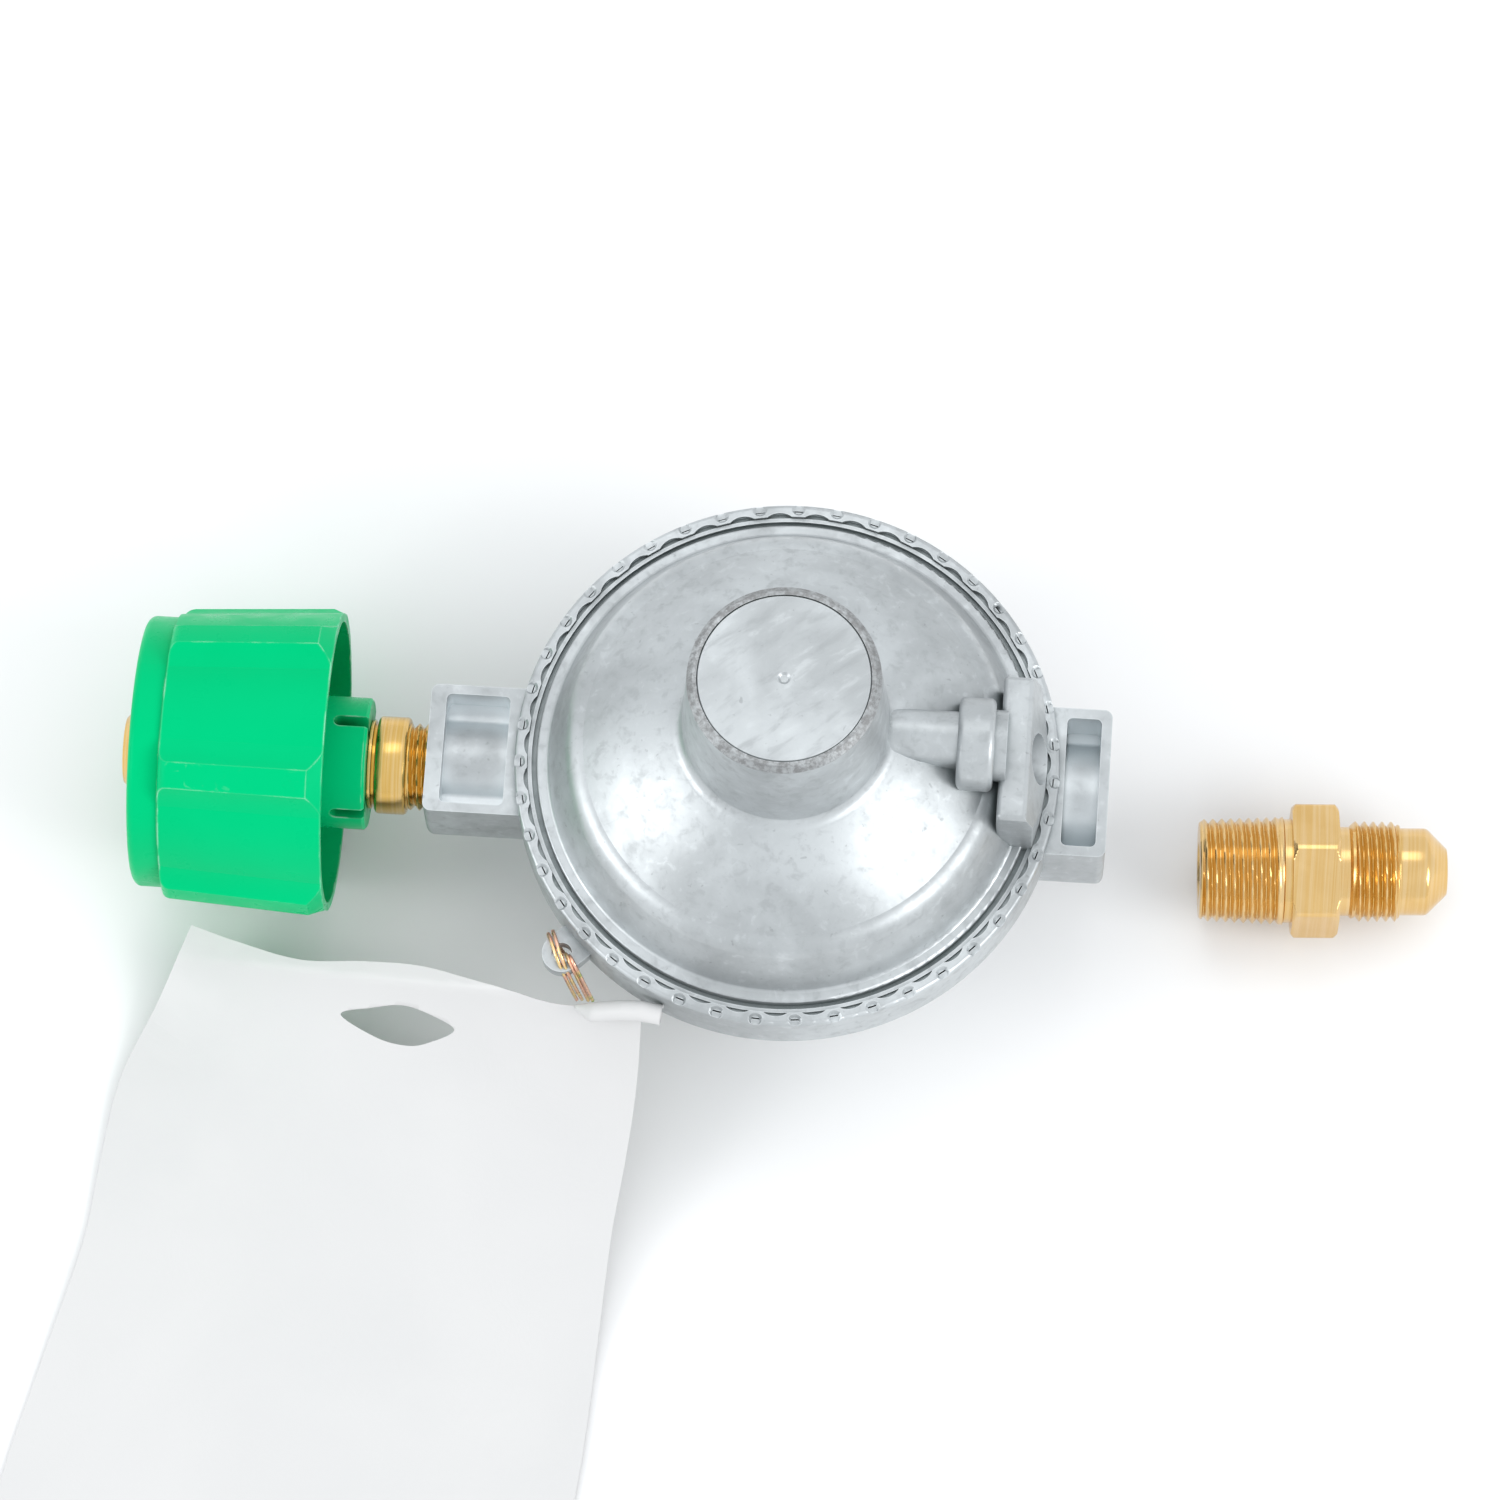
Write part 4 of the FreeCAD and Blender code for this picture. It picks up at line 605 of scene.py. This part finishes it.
def nipple():
    """The brass nipple from its probe to the pipe thread in the casing."""
    outside = [
        (-104.6, 5.2), (-102.8, 7.0), (-88.0, 7.0), (-88.0, 9.3), (-87.8, 9.5), (-86.25, 9.5),
        (-86.05, 9.3), (-86.05, 6.25), (-65.95, 6.25), (-65.95, 6.9), (-65.85, 7.0), (-65.4, 7.0),
        (-65.3, 6.9), (-65.3, 6.35), (-64.8, 6.35), (-64.8, 7.2), (-64.65, 7.5), (-64.3, 7.68),
        (-60.3, 7.68), (-59.95, 7.5), (-59.8, 7.2), (-59.8, 6.86), (-55.0, 6.86), (-44.4, 6.86),
    ]
    inside = [(-104.6, 4.2), (-90.0, 4.2), (-90.0, 2.6), (-44.4, 2.6)]
    brass = turned_brass("nipple_brass", NIPPLE_DARK, NIPPLE_LIGHT)
    piece = turning("nipple_turning", outside, inside, brass, NIPPLE_THREADS, sides=180)
    piece.data.transform(Matrix.Translation(Vector((0, 0, PORT_HEIGHT)) * MM))
    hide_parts("inlet_nipple")


# Tag

# The film's edges in its own turned frame: (place down, edge there) for its sides, (place across, edge
# there) for its top
TAG_TURN = math.radians(-8)
TAG_END = -147.5
TAG_LEFT = [
    (-147.5, -99.6), (-125.8, -99.3), (-108.1, -97.6), (-87.8, -95.6), (-74.7, -96.0), (-60.4, -95.8),
    (-47.8, -92.4), (-36.4, -89.3),
]
TAG_RIGHT = [
    (-147.5, -10.6), (-112.1, -10.8), (-103.3, -11.2), (-86.1, -12.6), (-71.4, -13.6), (-60.3, -13.5),
    (-50.9, -13.6), (-41.0, -14.4),
]
TAG_TOP = [
    (-89.2, -36.4), (-81.0, -38.2), (-69.6, -39.9), (-59.7, -39.0), (-50.5, -38.8), (-39.1, -40.6),
    (-27.3, -42.3), (-14.4, -41.2),
]
HANGER = [
    (-62.5, -46.8), (-57.5, -45.3), (-52.7, -44.5), (-48.0, -45.3), (-43.8, -46.9), (-47.4, -48.9),
    (-50.9, -49.8), (-56.1, -49.3),
]
HANGER_REACH = (-5, 60)
TAG_ACROSS = 110
TAG_DOWN = 150
FILM = 0.12

# The film lies flat and rises on an arc of this radius: lift and top of its left and its right edge
TAG_CURL = 60.0
LEFT_RISE = (5.0, -35.3)
RIGHT_RISE = (33.5, -41.5)
FILM_LEFT = -99.5
FILM_WIDE = 88.5
FILM_CLEAR = 0.35
WAVES_FROM = -115
WAVES_SPREAD = 60

# The film's rolled corner
ROLL_START = -25.0
ROLL_END = -11.0
ROLL_RADIUS = 1.8
ROLL_TURN = math.radians(330)
ROLL_ALONG = Vector((0, 0.47, 0.88))
ROLL_OUT = Vector((0, -0.88, 0.47))
ROLL_TIGHTENS = 0.22
ROLL_SWELLS = 3.0
ROLL_LEAST = 0.15
ROLL_COLUMNS = 30
ROLL_ROWS = 40


def spread_through(knots, place):
    """The height of a smooth curve through (place, height) knots."""
    for number, (before, after) in enumerate(zip(knots, knots[1:])):
        if place <= after[0] or after is knots[-1]:
            share = min(1, max(0, (place - before[0]) / (after[0] - before[0])))
            first = knots[max(0, number - 1)]
            last = knots[min(len(knots) - 1, number + 2)]
            span = after[0] - before[0]
            leave = (after[1] - first[1]) / (after[0] - first[0]) * span
            arrive = (last[1] - before[1]) / (last[0] - before[0]) * span
            cube = share ** 3
            square = share ** 2
            return (
                (2 * cube - 3 * square + 1) * before[1] + (cube - 2 * square + share) * leave
                + (3 * square - 2 * cube) * after[1] + (cube - square) * arrive
            )


def curl(down, lift, top):
    """Height of an edge that lies flat, then rises on an arc to lift at its top."""
    run = math.sqrt(TAG_CURL ** 2 - (TAG_CURL - lift) ** 2)
    rise = min(max(down - top + run, 0), run)
    return TAG_CURL - math.sqrt(TAG_CURL ** 2 - rise ** 2)


def film_height(across, down):
    """Height of the film's back at a place in the tag's own frame."""
    share = (across - FILM_LEFT) / FILM_WIDE
    lofted = (1 - share) * curl(down, *LEFT_RISE) + share * curl(down, *RIGHT_RISE)
    near_top = min(1, max(0, (down - WAVES_FROM) / WAVES_SPREAD))
    ripple = 0.9 * math.sin(0.085 * across + 0.045 * down + 0.6) * math.sin(0.031 * across + 1.1)
    crease = 0.55 * noise.noise((across * 0.045, down * 0.035, 3.1))
    fine = 0.20 * noise.noise((across * 0.16, down * 0.12, 7.7))
    return FILM_CLEAR + lofted + near_top * (0.9 + ripple + crease) + 0.35 * (0.6 + crease + fine)


def hang_tag():
    """The film tag with its hanger hole, and the rolled corner that the wire goes through."""
    film = white_film()
    turned = Matrix.Rotation(TAG_TURN, 3, "Z")
    points = []
    for row in range(TAG_DOWN + 1):
        for column in range(TAG_ACROSS + 1):
            share = column / TAG_ACROSS
            guess = TAG_LEFT[-1][1] + (TAG_RIGHT[-1][1] - TAG_LEFT[-1][1]) * share
            top = spread_through(TAG_TOP, guess)
            down = TAG_END + (top - TAG_END) * row / TAG_DOWN
            left = spread_through(TAG_LEFT, down)
            right = spread_through(TAG_RIGHT, down)
            across = left + (right - left) * share
            points.append(turned @ Vector((across, down, film_height(across, down))))
    tag = add_piece("tag_film", points, grid_faces(TAG_DOWN, TAG_ACROSS), film, smooth_angle=180)
    thicken(tag, FILM, 1)
    cut_hole(tag, smooth_loop(HANGER)[::-1], turned)
    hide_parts("hang_tag")
    roll = rolled_corner(film, turned)


def cut_hole(tag, loop, turned):
    """Cuts a hole straight down through the film. The loop runs counter-clockwise seen from above."""
    count = len(loop)
    points = [turned @ Vector((u, v, height)) for height in HANGER_REACH for u, v in loop]
    faces = [tuple(range(count))[::-1], tuple(range(count, 2 * count))]
    for start in range(count):
        end = (start + 1) % count
        faces.append((start, end, count + end, count + start))
    punch = stand("hanger_punch", bpy.data.meshes.new("hanger_punch"))
    punch.data.from_pydata([point * MM for point in points], [], faces)
    cut_out(tag, punch, 60)


def rolled_corner(film, turned):
    """The film's top edge curls forward over the wire's ends into a narrow roll."""
    points = []
    last = TAG_TOP[-1][0]
    for column in range(ROLL_COLUMNS + 1):
        across = ROLL_START + (ROLL_END - ROLL_START) * column / ROLL_COLUMNS
        top = spread_through(TAG_TOP, min(across, last))
        base = Vector((across, top, film_height(min(across, last), top)))
        swell = min(1, ROLL_LEAST + (1 - ROLL_LEAST) * (across - ROLL_START) / ROLL_SWELLS)
        for row in range(ROLL_ROWS + 1):
            share = row / ROLL_ROWS
            turn = ROLL_TURN * share
            radius = ROLL_RADIUS * swell * (1 - ROLL_TIGHTENS * share)
            centre = base + ROLL_OUT * radius
            back = ROLL_OUT * radius * math.cos(turn)
            up = ROLL_ALONG * radius * math.sin(turn)
            points.append(turned @ (centre - back + up))
    roll = add_piece("tag_roll", points, grid_faces(ROLL_COLUMNS, ROLL_ROWS), film, smooth_angle=180)
    thicken(roll, FILM, 0)
    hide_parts("hang_tag")
    return roll


def smooth_loop(corners, steps=6):
    """A closed smooth curve through the corners."""
    count = len(corners)
    loop = []
    for number in range(count):
        before, start, end, after = (Vector(corners[(number + k) % count]) for k in (-1, 0, 1, 2))
        for step in range(steps):
            share = step / steps
            loop.append(
                0.5 * (2 * start + (end - before) * share
                       + (2 * before - 5 * start + 4 * end - after) * share ** 2
                       + (3 * start - before - 3 * end + after) * share ** 3)
            )
    return loop


# Wire

WIRE_RADIUS = 0.29
WIRE_ROUTES = [
    [(-30.8, -35.6, 22.5), (-32.6, -35.3, 35.6), (-35.4, -28.3, 35.2), (-35.4, -28.3, 30.3),
     (-32.5, -31.4, 30.2), (-32.5, -31.4, 34.9), (-30.8, -34.7, 34.9), (-29.0, -35.6, 22.5)],
    [(-30.0, -35.5, 22.5), (-32.0, -35.2, 36.0), (-34.7, -27.9, 35.8), (-34.7, -27.9, 30.0),
     (-31.9, -31.8, 30.1), (-31.9, -31.8, 35.3), (-30.2, -34.7, 35.3), (-28.3, -35.6, 22.5)],
]


def wire_strand(name, route, material):
    """A smooth round wire along a NURBS line with these control points."""
    curve = bpy.data.curves.new(name, "CURVE")
    curve.dimensions = "3D"
    curve.bevel_depth = WIRE_RADIUS * MM
    curve.bevel_resolution = 6
    curve.use_fill_caps = True
    curve.resolution_u = 12
    spline = curve.splines.new("NURBS")
    spline.points.add(len(route) - 1)
    for control, place in zip(spline.points, route):
        control.co = (*(Vector(place) * MM), 1)
    spline.order_u = 3
    spline.use_endpoint_u = True
    temporary = stand(name, curve)
    bpy.context.view_layer.update()
    mesh = bpy.data.meshes.new_from_object(temporary)
    bpy.data.objects.remove(temporary)
    piece = stand(name, mesh)
    paint(mesh, material)
    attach(piece, "housing")
    return piece


def tag_wire():
    """The wire laid twice through the lug's hole and over its edge."""
    plating = yellow_plating()
    for number, route in enumerate(WIRE_ROUTES, 1):
        wire = wire_strand("plated_wire_%d" % number, route, plating)
        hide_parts("tag_wire")


# Springs

# For each spring the axis that it works along, and its lengths as shares of the whole, each with the
# two bodies that hold its ends
SPRINGS = {
    "main_spring": (2, [
        (0.0, 0.15, "diaphragm_plate", "diaphragm_stem"),
        (0.15, 0.5, "diaphragm_stem", "housing"),
        (0.5, 1.0, "housing", "adjusting_screw"),
    ]),
    "relief_spring": (2, [(0.0, 1.0, "diaphragm_plate", "diaphragm_stem")]),
    "excess_flow_spring": (0, [(0.0, 1.0, "flow_poppet", "housing")]),
}


def spring_lengths(node, axis, lengths, material):
    """Copies of a spring's lengths, cut off at their shares of the whole and closed where cut."""
    low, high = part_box(node)
    middle = (Vector(low) + Vector(high)) / 2
    for number, (start, end, first_body, last_body) in enumerate(lengths, 1):
        mesh = nodes[node].data.copy()
        piece = stand("%s_%d" % (node, number), mesh)
        build = joined(mesh)
        for share, side in ((start, -1), (end, 1)):
            place = middle.copy()
            place[axis] = low[axis] + (high[axis] - low[axis]) * share
            if 0 < share < 1:
                normal = Vector((0, 0, 0))
                normal[axis] = side
                everything = build.verts[:] + build.edges[:] + build.faces[:]
                cut = bmesh.ops.bisect_plane(
                    build, geom=everything, plane_co=place, plane_no=normal, clear_outer=True
                )["geom_cut"]
                rim = [part for part in cut if isinstance(part, bmesh.types.BMEdge)]
                bmesh.ops.contextual_create(build, geom=rim)
        write_back(build, mesh)
        paint(mesh, material)
        shade(mesh, 40)
        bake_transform(piece)
        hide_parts(node)


# Floor, light and camera, in metres; the lens and its sensor are in millimetres

CAMERA_PLACE = (0.0344, -0.3523, 1.1513)
CAMERA_RIGHT = (0.9976, 0.067, -0.0148)
CAMERA_UP = (-0.0593, 0.9506, 0.3047)
CAMERA_LOOK = (-0.0345, 0.3031, -0.9523)
CAMERA_LENS = 180
CAMERA_SENSOR = 36
CAMERA_REACH = 20
FLOOR_HALF = 6.0
LIGHT_AIM = (0, -0.02, 0.03)

# Lamps: place, size and power
LIGHTS = {
    "key": ((1.36, -0.62, 1.05), (1.0, 0.85), 13.5),
    "fill": ((-1.4, -0.45, 1.0), (0.9, 0.7), 8),
    "top": ((-0.1, 0.9, 1.9), (1.2, 0.8), 3.5),
}


def add_camera():
    camera = bpy.data.cameras.new("camera")
    camera.lens = CAMERA_LENS
    camera.sensor_width = CAMERA_SENSOR
    camera.clip_end = CAMERA_REACH
    seen = stand("camera", camera)
    axes = Matrix((CAMERA_RIGHT, CAMERA_UP, -Vector(CAMERA_LOOK))).transposed()
    seen.matrix_world = Matrix.Translation(CAMERA_PLACE) @ axes.to_4x4()
    bpy.context.scene.camera = seen


def add_light(name, place, size, power):
    lamp = bpy.data.lights.new(name, "AREA")
    lamp.shape = "RECTANGLE"
    lamp.size, lamp.size_y = size
    lamp.energy = power
    shown = stand(name, lamp)
    shown.location = place
    shown.rotation_euler = (Vector(LIGHT_AIM) - Vector(place)).to_track_quat("-Z", "Y").to_euler()


def add_studio():
    low = min(cad_box[0][2], 0.0)
    floor = bpy.data.meshes.new("floor")
    corners = [(FLOOR_HALF * x, FLOOR_HALF * y, low) for x, y in ((-1, -1), (1, -1), (1, 1), (-1, 1))]
    floor.from_pydata(corners, [], [(0, 1, 2, 3)])
    ground = stand("floor", floor)
    pale = Look("pale_floor", Roughness=0.9)
    pale.colour(pale.blend(pale.noise(3, 2), FLOOR_DARK, FLOOR_LIGHT))
    floor.materials.append(pale.material)
    world = bpy.data.worlds.new("studio")
    bpy.context.scene.world = world
    world.use_nodes = True
    sky = world.node_tree.nodes["Background"]
    sky.inputs["Strength"].default_value = 1.1
    sky.inputs["Color"].default_value = SKY
    for name, (place, size, power) in LIGHTS.items():
        add_light(name, place, size, power)
    bpy.context.scene.view_settings.view_transform = "Standard"


# The whole

casting = zinc("cast_zinc", lit_hollows_beyond=43.4)
cover_metal = zinc("cover_zinc", worn_above=79.9)
cap_metal = zinc("cap_zinc", 0.40, 0.53, (0.35, 1, 1), (0, 0, math.radians(38)))
dressed_casing(casting)
nipple()
loose_adapter()
hang_tag()
tag_wire()
brass = turned_brass("inner_brass")
steel = sheet_steel("pressed_steel")
spring_steel = sheet_steel("spring_steel", 0.36)
rubber = soft_black("rubber")
for node, material in {
    "cover": cover_metal, "tower_cap": cap_metal, "pusher": casting, "coupling_nut": moulded_green(),
    "adjusting_screw": soft_black("screw_plastic", 0.04, 0.45), "diaphragm": rubber,
    "seat_disc": rubber, "diaphragm_plate": steel, "relief_nut": steel, "lever": steel, "lever_pin": steel,
    "vent_screen": steel, "vent_screen_ring": steel, "seat_holder": brass, "valve_orifice": brass,
    "excess_flow_poppet": brass, "excess_flow_retainer": brass,
}.items():
    paint(nodes[node].data, material)
for node, (axis, lengths) in SPRINGS.items():
    spring_lengths(node, axis, lengths, spring_steel)
add_studio()
add_camera()
